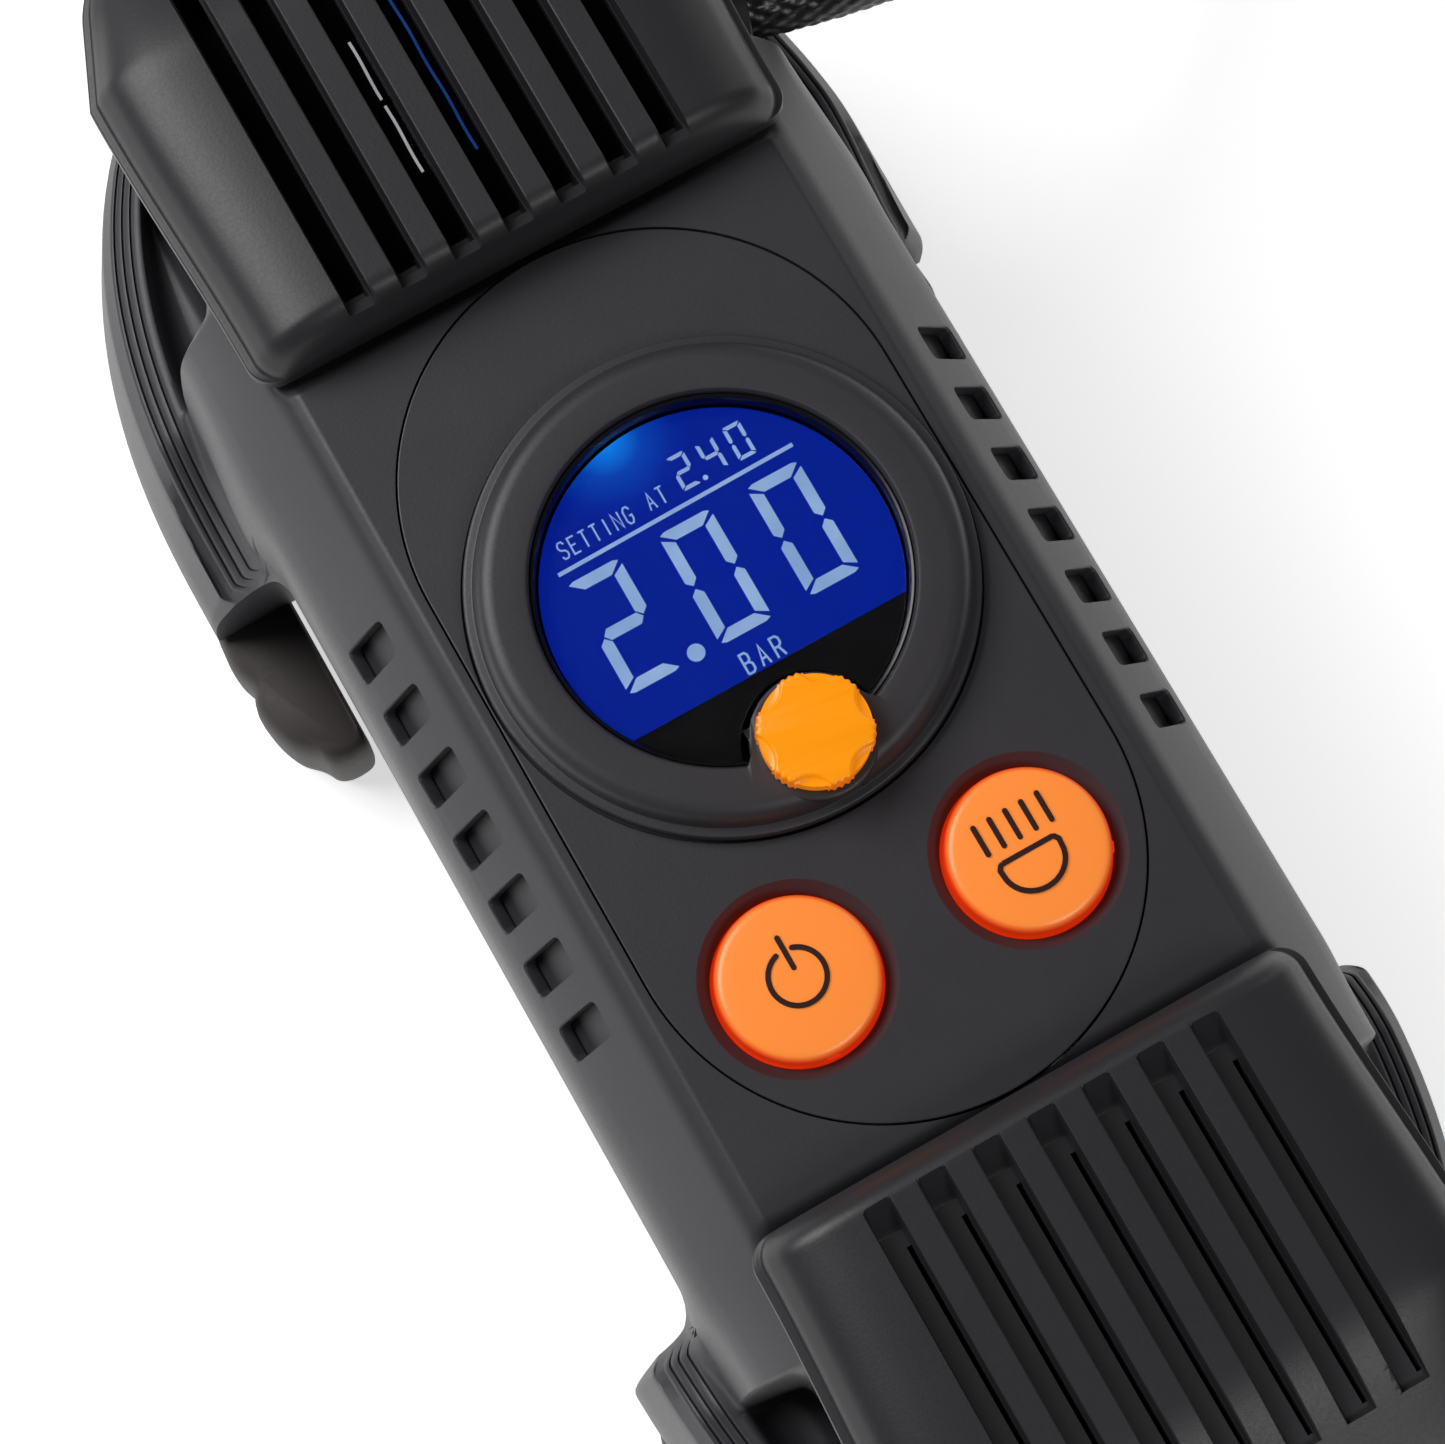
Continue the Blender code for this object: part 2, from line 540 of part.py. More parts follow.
def make_motor(steel, black, alloy):
    can = turned("motor_can", [(0, 56), (6, 56), (6, 54), (16, 54), (17, 53), (17, 1), (16, 0), (0, 0)], steel,
                 steps=28, base=(PINION_X, -62, PINION_Z), axis=(0, 1, 0))
    cut(can, rod("shaft_bore", 2.0, (PINION_X, -70, PINION_Z), (PINION_X, 0, PINION_Z), cutter=True, segments=20))

    mesh_angle = math.atan2(GEAR_Z - PINION_Z, GEAR_X - PINION_X)
    loop = tooth_outline(PINION_TEETH, phase=mesh_angle)
    shaft = plate("motor_shaft", [loop], -6.5, 0.5, steel, turn=FACE_Y, location=(PINION_X, 0, PINION_Z))
    join(shaft, rod("shaft_core", 1.6, (PINION_X, -76.5, PINION_Z), (PINION_X, 6.5, PINION_Z), cutter=True,
                    segments=16))

    hub = rod("cooling_fan", 5.0, (0, -76.0, 0), (0, -66.0, 0), black, segments=20, location=(PINION_X, 0, PINION_Z))
    for i in range(7):
        blade = box(f"fan_blade_{i}", (4.0, -4.6, -0.7), (15.6, 4.6, 0.7), cutter=True)
        lift = Matrix.Translation(Vector((PINION_X, -71, PINION_Z)) * MM)
        blade.data.transform(lift @ Matrix.Rotation(2 * math.pi * i / 7, 4, "Y")
                             @ Matrix.Rotation(math.radians(38), 4, "X"))
        join(hub, blade)
    cut(hub, rod("fan_bore", 1.9, (PINION_X, -80, PINION_Z), (PINION_X, -60, PINION_Z), cutter=True, segments=16))

    frame = plate("gearbox_frame", [[(-26, 13), (31, 13), (31, 64), (-26, 64)]], 1.8, 4.6, alloy, turn=FACE_Y)
    join(frame, box("cylinder_shelf", (-26, -3, 27.2), (-8, 31, 30.4), cutter=True))
    cut(frame, rod("pinion_bore", 6.6, (PINION_X, -9, PINION_Z), (PINION_X, 0, PINION_Z), cutter=True, segments=28))
    cut(frame, rod("axle_bore", 3.06, (GEAR_X, -9, GEAR_Z), (GEAR_X, 0, GEAR_Z), cutter=True, segments=24))


def make_drive(gear_nylon, black, alloy):
    mesh_angle = math.atan2(GEAR_Z - PINION_Z, GEAR_X - PINION_X) + math.pi
    loop = tooth_outline(GEAR_TEETH, phase=mesh_angle + math.pi / GEAR_TEETH)
    gear = plate("drive_gear", [loop], -6.0, 0.0, gear_nylon, turn=FACE_Y, location=(GEAR_X, 0, GEAR_Z))
    join(gear, rod("gear_axle", 3.0, (GEAR_X, -8.0, GEAR_Z), (GEAR_X, 3, GEAR_Z), cutter=True, segments=24))
    join(gear, rod("crank_web", 7.4, (GEAR_X, 5, GEAR_Z), (GEAR_X, 14.0, GEAR_Z), cutter=True, segments=32))
    pin_x = GEAR_X + CRANK_R
    join(gear, rod("crank_pin", 2.0, (pin_x, 12, GEAR_Z), (pin_x, 21.6, GEAR_Z), cutter=True, segments=20))

    big_end = circle(0, 0, 4.6, 28)
    lever = plate("connecting_rod", [big_end, circle(0, 0, 2.1, 20)], -20.6, -15.4, alloy, turn=FACE_Y,
                  location=(pin_x, 0, GEAR_Z))
    beam = box("rod_beam", (WRIST_X, 16.4, GEAR_Z - 1.5), (pin_x - 3.2, 19.6, GEAR_Z + 1.5), cutter=True)
    eye = rod("rod_eye", 2.5, (WRIST_X, 15.4, GEAR_Z), (WRIST_X, 20.6, GEAR_Z), cutter=True, segments=20)
    join(lever, beam, eye)

    body = rod("piston", PISTON_R, (-14.0, 0, 0), (10.0, 0, 0), alloy, segments=28,
               location=(WRIST_X, PISTON_Y, GEAR_Z))
    at = Vector((WRIST_X, PISTON_Y, GEAR_Z))
    cut(body, box("piston_hollow", at + Vector((-10.8, -3.4, -7.0)), at + Vector((20, 3.4, 7.0)), cutter=True))
    groove = [(12, -9.9), (12, -12.1), (9.0, -12.1), (9.0, -9.9), (12, -9.9)]
    cut(body, turned("ring_groove", groove, cutter=True, steps=28, base=tuple(at), axis=(1, 0, 0)))
    ring = [(10.3, -10.2), (10.3, -11.8), (9.3, -11.8), (9.3, -10.2), (10.3, -10.2)]
    turned("piston_ring", ring, black, steps=28, axis=(1, 0, 0), location=tuple(at))


def make_cylinder(alloy, brass, black):
    profile = [(10.6, 0), (12.6, 0)]
    for i in range(4):
        x = -3.2 - 6.2 * i
        profile += [(12.6, x), (15.4, x), (15.4, x - 1.5), (12.6, x - 1.5)]
    profile += [(12.6, -25.6), (10.6, -25.6), (10.6, 0)]
    turned("cylinder", profile, alloy, steps=24, base=(-4.2, PISTON_Y, GEAR_Z), axis=(1, 0, 0))
    head = turned("cylinder_head", [(0, 0), (13, 0), (14.2, -0.8), (14.2, -3.6), (13.4, -4.3), (0, -4.3)], alloy,
                  steps=24, base=(-30.1, PISTON_Y, GEAR_Z), axis=(1, 0, 0))
    cut(head, rod("head_port", 1.4, (-32.3, PISTON_Y + 2, GEAR_Z), (-32.3, 50, GEAR_Z), cutter=True, segments=14))
    route = smooth_route([(-32.0, 32.8, GEAR_Z), (-31.2, 38, GEAR_Z), (-27, 44, GEAR_Z + 1), (-16, 52, GEAR_Z + 3),
                          (-2, 62, GEAR_Z + 6), (8, 75, GEAR_Z + 8), (17.5, 81.98, GEAR_Z + 8),
                          (25.16, 79.94, GEAR_Z + 8)], 5)
    tube("outlet_tube", route, 1.7, brass)
    box("pressure_sensor", (-6, 36, 61.5), (6, 46.5, 67.0), black, round_edges=1.0)


def make_glands(black):
    for name, side in (("hose_gland", 1), ("power_cord_gland", -1)):
        axis = (HOSE_DIRECTION[0], side * HOSE_DIRECTION[1], 0)
        profile = [(0, 11.2), (7.0, 11.2), (7.4, 10.8), (7.4, 9.9), (6.0, 9.9), (6.0, 0), (0, 0)]
        start = Vector(HOSE_EXIT) - Vector(HOSE_DIRECTION) * 11.5
        turned(name, profile, black, steps=28, base=(start.x, side * start.y, start.z), axis=axis)


def make_lamp(lens, mirror, board):
    box("led_lens", (-16.9, -114.6, 23.1), (16.9, -112.2, 34.9), lens)
    reflector = box("led_reflector", (-16.6, -111.8, 23.3), (16.6, -106.2, 34.7), mirror)
    for i in (-1, 0, 1):
        cut(reflector, rod(f"led_cup_{i}", 5.0, (i * 10.8, -113, 29), (i * 10.8, -105, 29), cutter=True,
                           segments=24, end_radius=2.4))
    box("led_board", (-16.6, -105.9, 23.3), (16.6, -104.5, 34.7), board)


# ---------------------------------------------------------------- air hose

def tail_frame():
    """Matrix whose +X runs along the tail, away from the coil, with its origin where the connector starts."""
    angle = math.radians(COIL_LEAVES)
    along = Vector((-math.sin(angle), math.cos(angle), 0))
    leave = Vector((COIL_X + COIL_R * math.cos(angle), COIL_Y + COIL_R * math.sin(angle), 0))
    origin = leave + along * (TAIL_START + TAIL_LENGTH + GAP)
    turn = Matrix.Rotation(math.atan2(along.y, along.x), 4, "Z")
    return Matrix.Translation(Vector((origin.x, origin.y, CONNECTOR_Z)) * MM) @ turn


def make_hose(rubber):
    tube("air_hose", smooth_route(HOSE_ROUTE, 9.0), HOSE_R, rubber, resolution=3)
    ring = [(COIL_R + 4.4, COIL_HEIGHT), (COIL_R + 4.4, 0.1), (COIL_R - 4.4, 0.1), (COIL_R - 4.4, COIL_HEIGHT),
            (COIL_R + 4.4, COIL_HEIGHT)]
    turned("air_hose_coil", ring, rubber, steps=48, base=(COIL_X, COIL_Y, 0))
    along_tail = ((0, 3.6), (5, 2.6), (10, 1.2), (15, 0.3), (TAIL_LENGTH, 0.0))
    frame = tail_frame()
    route = [frame @ (Vector((x - TAIL_LENGTH - GAP, 0, lift)) * MM) / MM for x, lift in along_tail]
    tube("air_hose_tail", route, HOSE_R, rubber, resolution=3)


def make_connector(plastic, orange):
    frame = tail_frame()
    body = turned("connector_body", [(0, 38), (5.4, 38), (6.2, 37.2), (6.2, 27), (5.4, 25.6), (5.4, 11),
                                     (5.0, 0), (0, 0)], plastic, steps=28, axis=(1, 0, 0))
    cut(body, rod("valve_bore", 4.1, (27, 0, 0), (42, 0, 0), cutter=True, segments=24))
    cut(body, box("lever_slot", (LEVER_PIVOT - 7, -2.3, 1.6), (LEVER_PIVOT + 4.6, 2.3, 12), cutter=True))
    for piece in (body, *[m.object for m in body.modifiers]):
        piece.data.transform(frame)
    pivot = frame @ (Vector((LEVER_PIVOT, 0, 4.4)) * MM)
    lever = plate("connector_lever", [[(-25, 4.6), (-25, 2.9), (-6, 2.6), (-2.2, -1.5)] + arc(0, 0, 2.2, -60, 90, 6)
                                      + [(-2, 2.6), (-5, 4.6)]], -2.0, 2.0, orange, turn=FACE_Y)
    lever.data.transform(frame.to_3x3().to_4x4())
    lever.location = pivot


def main():
    clear_scene()
    charcoal = principled("charcoal_plastic", (0.045, 0.045, 0.05), 0.6)
    cover_grey = principled("cover_plastic", (0.036, 0.036, 0.04), 0.6)
    dark = principled("dark_plastic", (0.03, 0.03, 0.032), 0.6)
    rubber = principled("rubber", (0.09, 0.08, 0.078), 0.8)
    orange = principled("orange_plastic", (0.9, 0.28, 0.02), 0.35)
    glass = principled("window_glass", (0.02, 0.03, 0.08), 0.1)
    screen = principled("lcd", (0.0, 0.03, 0.6), 0.4)
    board = principled("circuit_board", (0.02, 0.12, 0.05), 0.5)
    steel = principled("steel", (0.5, 0.5, 0.52), 0.35, 1.0)
    alloy = principled("cast_alloy", (0.45, 0.45, 0.46), 0.5, 1.0)
    brass = principled("brass", (0.6, 0.45, 0.2), 0.3, 1.0)
    gear = principled("gear_nylon", (0.7, 0.68, 0.6), 0.5)
    lens = principled("lamp_lens", (0.8, 0.82, 0.85), 0.1)
    make_upper_shell(charcoal)
    make_base_shell(dark)
    make_case_screws(steel)
    make_cover("front_vent_cover", 1, cover_grey)
    make_cover("rear_vent_cover", -1, cover_grey)
    make_feet(rubber)
    make_controls(charcoal, orange, glass, screen, board, steel, dark)
    make_motor(steel, dark, alloy)
    make_drive(gear, dark, alloy)
    make_cylinder(alloy, brass, dark)
    make_glands(dark)
    make_lamp(lens, steel, board)
    make_hose(dark)
    make_connector(dark, orange)


main()
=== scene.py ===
"""Looks of a portable tyre inflator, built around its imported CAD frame.

Lengths below are millimetres in the frame's own axes, and MM turns them into metres.
"""

import math

import bmesh
import bpy
from mathutils import Matrix, Vector


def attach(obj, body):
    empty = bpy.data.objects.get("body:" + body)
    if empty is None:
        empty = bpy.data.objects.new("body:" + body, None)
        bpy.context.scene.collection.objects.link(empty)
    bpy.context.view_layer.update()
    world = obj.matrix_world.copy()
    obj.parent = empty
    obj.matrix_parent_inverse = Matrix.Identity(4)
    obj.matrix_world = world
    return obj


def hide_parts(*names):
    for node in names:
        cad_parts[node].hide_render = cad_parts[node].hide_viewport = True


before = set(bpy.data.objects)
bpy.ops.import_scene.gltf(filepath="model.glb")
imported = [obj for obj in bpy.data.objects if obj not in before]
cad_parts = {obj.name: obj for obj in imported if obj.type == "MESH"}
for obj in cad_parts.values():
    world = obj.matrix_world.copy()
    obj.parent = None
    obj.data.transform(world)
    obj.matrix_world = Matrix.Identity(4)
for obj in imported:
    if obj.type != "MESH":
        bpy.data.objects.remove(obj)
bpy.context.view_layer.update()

MM = 0.001
GAP = 0.3

# Camera
CAMERA_AT = (-49.63, -79.07, 478.13)
CAMERA_BACK = (-0.1056, -0.1899, 1.0)      # from the picture towards the camera
CAMERA_RIGHT = (0.87077, -0.49169, -0.00147)
LENS = 95.16

# Housing
CONSOLE_Z = 78.0
CONSOLE_HALF = 29.8
WAIST_HALF = 40.2
WING_HALF = 50.3
WING_START = 52.0
WING_RUN = 67.0
HALF_LENGTH = 117.0
RIM_Z = 16.5
BASE_Z = 8.0
WING_Z = 26.0

# Controls
PANEL_R = 28.45
PANEL_ARC_Y = 24.05
DISPLAY_Y = 10.0
BEZEL_R = 28.0
WINDOW_R = 20.1
KNOB_Y = -10.0
KNOB_R = 6.4
BUTTON_X = 14.1
BUTTON_Y = -31.2
BUTTON_R = 9.0
WELL_R = 10.65

# End covers
COVER_START = 53.1
COVER_END = 110.0
COVER_TOP = 87.0
COVER_BASE = 78.4
SLOT_PITCH = 6.5
SLOT_COUNT = 7
RECESS_COUNT = 7
RECESS_PITCH = 8.0

# Air hose
HOSE_R = 4.25
HOSE_EXIT = (36.6, 76.9, 54.0)
HOSE_DIRECTION = (0.966, -0.257, 0.0)
HOSE_ROUTE = (
    (36.6, 76.9, 54.0), (44.3, 74.8, 54.0), (52.4, 73.0, 54.0), (60.6, 72.0, 53.4), (69.0, 72.4, 51.6),
    (77.2, 75.0, 48.4), (84.4, 79.8, 43.8), (90.2, 86.6, 38.0), (94.8, 94.8, 31.4), (98.2, 103.8, 24.6),
    (100.6, 113.4, 17.8), (102.0, 123.4, 11.6), (102.7, 133.4, 6.8), (102.9, 142.8, 4.6),
)
COIL_X, COIL_Y, COIL_R = 60.5, 170.5, 42.4
CONNECTOR_X, CONNECTOR_Y, CONNECTOR_Z = 12.2, 212.9, 6.9


# ---------------------------------------------------------------- materials

def shader(name):
    """A new node material and its Principled shader, and a short way to add nodes to it."""
    material = bpy.data.materials.new(name)
    material.use_nodes = True
    tree = material.node_tree
    principled = tree.nodes["Principled BSDF"]

    def add(kind, **values):
        node = tree.nodes.new(kind)
        for key, value in values.items():
            if key in node.inputs:
                node.inputs[key].default_value = value
            else:
                setattr(node, key, value)
        return node

    return material, tree, principled, add


def link(tree, source, output, target, socket):
    tree.links.new(source.outputs[output], target.inputs[socket])


def grain(tree, add, scale, detail=2.0):
    """Noise in the object's own space, scale in cells per metre."""
    place = add("ShaderNodeTexCoord")
    noise = add("ShaderNodeTexNoise", Scale=scale, Detail=detail, Roughness=0.6)
    link(tree, place, "Object", noise, "Vector")
    return noise


def ramp(tree, add, source, stops, output="Fac"):
    node = add("ShaderNodeValToRGB")
    elements = node.color_ramp.elements
    while len(elements) < len(stops):
        elements.new(0.5)
    for element, (position, color) in zip(elements, stops):
        element.position = position
        element.color = (*color, 1.0)
    link(tree, source, output, node, "Fac")
    return node


def moulded(name, dark, light, roughness=(0.42, 0.56), spark=0.22, spark_scale=2600.0, ior=1.5):
    """Moulded plastic: spark-eroded texture, slow colour drift and slightly uneven gloss."""
    material, tree, principled, add = shader(name)
    drift = grain(tree, add, 45.0, 3.0)
    color = ramp(tree, add, drift, ((0.3, dark), (0.7, light)))
    link(tree, color, "Color", principled, "Base Color")
    fine = grain(tree, add, spark_scale, 2.0)
    gloss = add("ShaderNodeMapRange", **{"To Min": roughness[0], "To Max": roughness[1]})
    link(tree, fine, "Fac", gloss, "Value")
    link(tree, gloss, "Result", principled, "Roughness")
    bump = add("ShaderNodeBump", Strength=spark, Distance=0.00006)
    link(tree, fine, "Fac", bump, "Height")
    link(tree, bump, "Normal", principled, "Normal")
    principled.inputs["IOR"].default_value = ior
    return material


def metal(name, dark, light, roughness, scale=900.0, stretch=(1.0, 1.0, 1.0)):
    material, tree, principled, add = shader(name)
    place = add("ShaderNodeTexCoord")
    squeeze = add("ShaderNodeMapping")
    squeeze.inputs["Scale"].default_value = stretch
    link(tree, place, "Object", squeeze, "Vector")
    noise = add("ShaderNodeTexNoise", Scale=scale, Detail=3.0)
    link(tree, squeeze, "Vector", noise, "Vector")
    color = ramp(tree, add, noise, ((0.3, dark), (0.7, light)))
    link(tree, color, "Color", principled, "Base Color")
    gloss = add("ShaderNodeMapRange", **{"To Min": roughness - 0.08, "To Max": roughness + 0.1})
    link(tree, noise, "Fac", gloss, "Value")
    link(tree, gloss, "Result", principled, "Roughness")
    bump = add("ShaderNodeBump", Strength=0.15, Distance=0.00005)
    link(tree, noise, "Fac", bump, "Height")
    link(tree, bump, "Normal", principled, "Normal")
    principled.inputs["Metallic"].default_value = 1.0
    return material


def painted_glow_plastic(name, core, rim, rim_start, rim_end, centre, glow):
    """Orange plastic with a painted glow that grows redder towards its side wall."""
    material, tree, principled, add = shader(name)
    place = add("ShaderNodeTexCoord")
    shift = add("ShaderNodeVectorMath", operation="SUBTRACT")
    shift.inputs[1].default_value = Vector(centre) * MM
    link(tree, place, "Object", shift, 0)
    flat = add("ShaderNodeVectorMath", operation="MULTIPLY")
    flat.inputs[1].default_value = (1.0, 1.0, 0.0)
    link(tree, shift, "Vector", flat, 0)
    length = add("ShaderNodeVectorMath", operation="LENGTH")
    link(tree, flat, "Vector", length, 0)
    spread = add("ShaderNodeMapRange", **{"From Min": rim_start * MM, "From Max": rim_end * MM})
    link(tree, length, "Value", spread, "Value")
    cloud = grain(tree, add, 260.0, 3.0)
    drift = add("ShaderNodeMath", operation="MULTIPLY_ADD")
    drift.inputs[1].default_value = 0.12
    link(tree, cloud, "Fac", drift, 0)
    link(tree, spread, "Result", drift, 2)
    color = ramp(tree, add, drift, ((0.0, core), (0.35, core), (1.0, rim)), "Value")
    link(tree, color, "Color", principled, "Base Color")
    # Painted light: the emission stands in for light that the plastic does not give off.
    link(tree, color, "Color", principled, "Emission Color")
    principled.inputs["Emission Strength"].default_value = glow
    fine = grain(tree, add, 2200.0, 2.0)
    gloss = add("ShaderNodeMapRange", **{"To Min": 0.24, "To Max": 0.36})
    link(tree, fine, "Fac", gloss, "Value")
    link(tree, gloss, "Result", principled, "Roughness")
    bump = add("ShaderNodeBump", Strength=0.06, Distance=0.00005)
    link(tree, fine, "Fac", bump, "Height")
    link(tree, bump, "Normal", principled, "Normal")
    return material


def backlight_blue():
    """The liquid-crystal field: deep blue, with a painted reflection that brightens it towards a spot at its upper
    edge.
    """
    material, tree, principled, add = shader("lcd_blue")
    place = add("ShaderNodeTexCoord")
    # Painted reflection: the field's light grows towards this point at its upper edge.
    lamp = add("ShaderNodeVectorMath", operation="DISTANCE")
    lamp.inputs[1].default_value = Vector((-3.5, 30.5, 79.0)) * MM
    link(tree, place, "Object", lamp, 0)
    near = add("ShaderNodeMapRange", **{"From Min": 0.0, "From Max": 0.0095, "To Min": 1.0, "To Max": 0.0})
    link(tree, lamp, "Value", near, "Value")
    cloud = grain(tree, add, 70.0, 2.0)
    drift = add("ShaderNodeMath", operation="MULTIPLY_ADD")
    drift.inputs[1].default_value = 0.12
    link(tree, cloud, "Fac", drift, 0)
    link(tree, near, "Result", drift, 2)
    color = ramp(tree, add, drift, ((0.0, (0.0, 0.009, 0.25)), (0.25, (0.0, 0.014, 0.29)),
                                    (0.62, (0.001, 0.05, 0.42)), (0.95, (0.004, 0.22, 0.85))), "Value")
    link(tree, color, "Color", principled, "Emission Color")
    principled.inputs["Base Color"].default_value = (0.0, 0.005, 0.05, 1.0)
    principled.inputs["Emission Strength"].default_value = 0.95
    principled.inputs["Specular IOR Level"].default_value = 0.1
    principled.inputs["Roughness"].default_value = 0.4
    return material


def lit(name, dark, light, strength):
    """A material that shows its own light, with slow drift between two colours."""
    material, tree, principled, add = shader(name)
    cloud = grain(tree, add, 160.0, 2.0)
    color = ramp(tree, add, cloud, ((0.3, dark), (0.7, light)))
    link(tree, color, "Color", principled, "Emission Color")
    link(tree, color, "Color", principled, "Base Color")
    principled.inputs["Emission Strength"].default_value = strength
    principled.inputs["Specular IOR Level"].default_value = 0.1
    principled.inputs["Roughness"].default_value = 0.4
    return material


def clear(name, tint, roughness=0.03):
    """Clear moulding with faint flow marks."""
    material, tree, principled, add = shader(name)
    flow = grain(tree, add, 120.0, 2.0)
    color = ramp(tree, add, flow, ((0.3, tint), (0.7, tuple(min(1.0, c * 1.05) for c in tint))))
    link(tree, color, "Color", principled, "Base Color")
    gloss = add("ShaderNodeMapRange", **{"To Min": roughness, "To Max": roughness + 0.03})
    link(tree, flow, "Fac", gloss, "Value")
    link(tree, gloss, "Result", principled, "Roughness")
    principled.inputs["Transmission Weight"].default_value = 1.0
    principled.inputs["IOR"].default_value = 1.2
    return material


def circuit_green():
    material, tree, principled, add = shader("circuit_board")
    place = add("ShaderNodeTexCoord")
    tracks = add("ShaderNodeTexVoronoi", Scale=420.0, feature="DISTANCE_TO_EDGE")
    link(tree, place, "Object", tracks, "Vector")
    color = ramp(tree, add, tracks, ((0.02, (0.03, 0.16, 0.07)), (0.08, (0.01, 0.09, 0.035))), "Distance")
    link(tree, color, "Color", principled, "Base Color")
    principled.inputs["Roughness"].default_value = 0.35
    return material


BLACK = (0.0095, 0.009, 0.0105)
CHARCOAL = moulded("charcoal_plastic", (0.041, 0.0385, 0.0455), (0.048, 0.0455, 0.0525), (0.36, 0.5))
COVER = moulded("cover_plastic", (0.028, 0.027, 0.031), (0.033, 0.032, 0.036), (0.34, 0.48))
DARK = moulded("dark_plastic", (0.014, 0.0135, 0.0150), (0.02, 0.019, 0.021), (0.5, 0.66))
GASKET = moulded("gloss_black", (0.004, 0.004, 0.005), (0.006, 0.006, 0.007), (0.16, 0.24), 0.05)
PRINT = moulded("symbol_ink", (0.030, 0.006, 0.004), (0.038, 0.009, 0.006), (0.4, 0.5), 0.05)
RUBBER = moulded("rubber", (0.060, 0.050, 0.048), (0.075, 0.063, 0.060), (0.55, 0.72), 0.3, 1500.0)
NYLON = moulded("gear_nylon", (0.55, 0.53, 0.45), (0.62, 0.6, 0.52), (0.35, 0.5), 0.1)
STEEL = metal("steel", (0.36, 0.36, 0.38), (0.52, 0.52, 0.54), 0.3, 700.0, (1.0, 1.0, 0.08))
ALLOY = metal("cast_alloy", (0.36, 0.36, 0.37), (0.5, 0.5, 0.51), 0.48, 1400.0)
BRASS = metal("brass", (0.5, 0.36, 0.14), (0.62, 0.47, 0.2), 0.28)
BRIGHT = metal("reflector_metal", (0.78, 0.78, 0.8), (0.86, 0.86, 0.88), 0.14)
BOARD = circuit_green()
WINDOW = clear("window_glass", (0.95, 0.97, 1.0))
LENS_CLEAR = clear("lamp_lens", (0.86, 0.89, 0.93), 0.06)
LCD_BLUE = backlight_blue()
LCD_LIT = lit("lcd_segment", (0.19, 0.30, 0.50), (0.25, 0.37, 0.57), 0.66)
# Painted glints: thin glowing strips that stand in for glints deep in the louvre slots.
PAINTED_GLINT_WHITE = lit("painted_white_glint", (0.50, 0.52, 0.55), (0.62, 0.64, 0.66), 0.5)
PAINTED_GLINT_BLUE = lit("painted_blue_glint", (0.01, 0.05, 0.22), (0.015, 0.07, 0.30), 0.5)
# Painted shade: the black of the sheets under the louvres.
PAINTED_SHADE_BLACK = moulded("painted_shade_black", (0.002, 0.002, 0.002), (0.003, 0.003, 0.003), (0.8, 0.9), 0.1, 900.0, 1.2)


# ---------------------------------------------------------------- mesh helpers

def piece(name, points, faces, material, smooth=32):
    """A mesh from points in millimetres, with its faces turned outwards and its sharp edges kept."""
    mesh = bpy.data.meshes.new(name)
    mesh.from_pydata([Vector(p) * MM for p in points], [], faces)
    bm = bmesh.new()
    bm.from_mesh(mesh)
    bmesh.ops.remove_doubles(bm, verts=bm.verts, dist=0.000001)
    bmesh.ops.recalc_face_normals(bm, faces=bm.faces)
    bm.to_mesh(mesh)
    bm.free()
    mesh.shade_smooth()
    mesh.set_sharp_from_angle(angle=math.radians(smooth))
    mesh.materials.append(material)
    obj = bpy.data.objects.new(name, mesh)
    bpy.context.scene.collection.objects.link(obj)
    return obj


def bridged(rings, closed=True, caps=True):
    """Points and faces of a skin through rings that have the same number of points."""
    count = len(rings[0])
    points = [p for ring in rings for p in ring]
    faces = []
    for k in range(len(rings) - 1):
        for i in range(count if closed else count - 1):
            j = (i + 1) % count
            faces.append((k * count + i, k * count + j, (k + 1) * count + j, (k + 1) * count + i))
    if caps:
        faces.append(tuple(range(count)))
        faces.append(tuple(range((len(rings) - 1) * count, len(rings) * count)))
    return points, faces


def turned_parts(profile, steps, base=(0, 0, 0), axis=(0, 0, 1)):
    """Points and faces of a closed (radius, height) outline turned about an axis. Points at radius 0 merge."""
    turn = Vector(axis).to_track_quat("Z", "Y").to_matrix()
    rings = []
    for i in range(steps):
        angle = 2 * math.pi * i / steps
        rings.append([Vector(base) + turn @ Vector((r * math.cos(angle), r * math.sin(angle), z))
                      for r, z in profile])
    points, faces = bridged(rings, closed=True, caps=False)
    count = len(profile)
    last = (steps - 1) * count
    for i in range(count):
        j = (i + 1) % count
        faces.append((last + i, last + j, j, i))
    return points, faces


def turned(name, profile, material, steps=96, base=(0, 0, 0), axis=(0, 0, 1), smooth=32):
    points, faces = turned_parts(profile, steps, base, axis)
    return clean(piece(name, points, faces, material, smooth))


def clean(obj):
    """Drops faces that merging points has left with no area."""
    bm = bmesh.new()
    bm.from_mesh(obj.data)
    bmesh.ops.dissolve_degenerate(bm, dist=0.0000005, edges=bm.edges)
    bmesh.ops.recalc_face_normals(bm, faces=bm.faces)
    bm.to_mesh(obj.data)
    bm.free()
    return obj


def merged(name, parts, material=None, smooth=32):
    """One mesh from several (points, faces) islands."""
    points, faces = [], []
    for more_points, more_faces in parts:
        start = len(points)
        points += list(more_points)
        faces += [tuple(start + i for i in face) for face in more_faces]
    return clean(piece(name, points, faces, material or DARK, smooth))


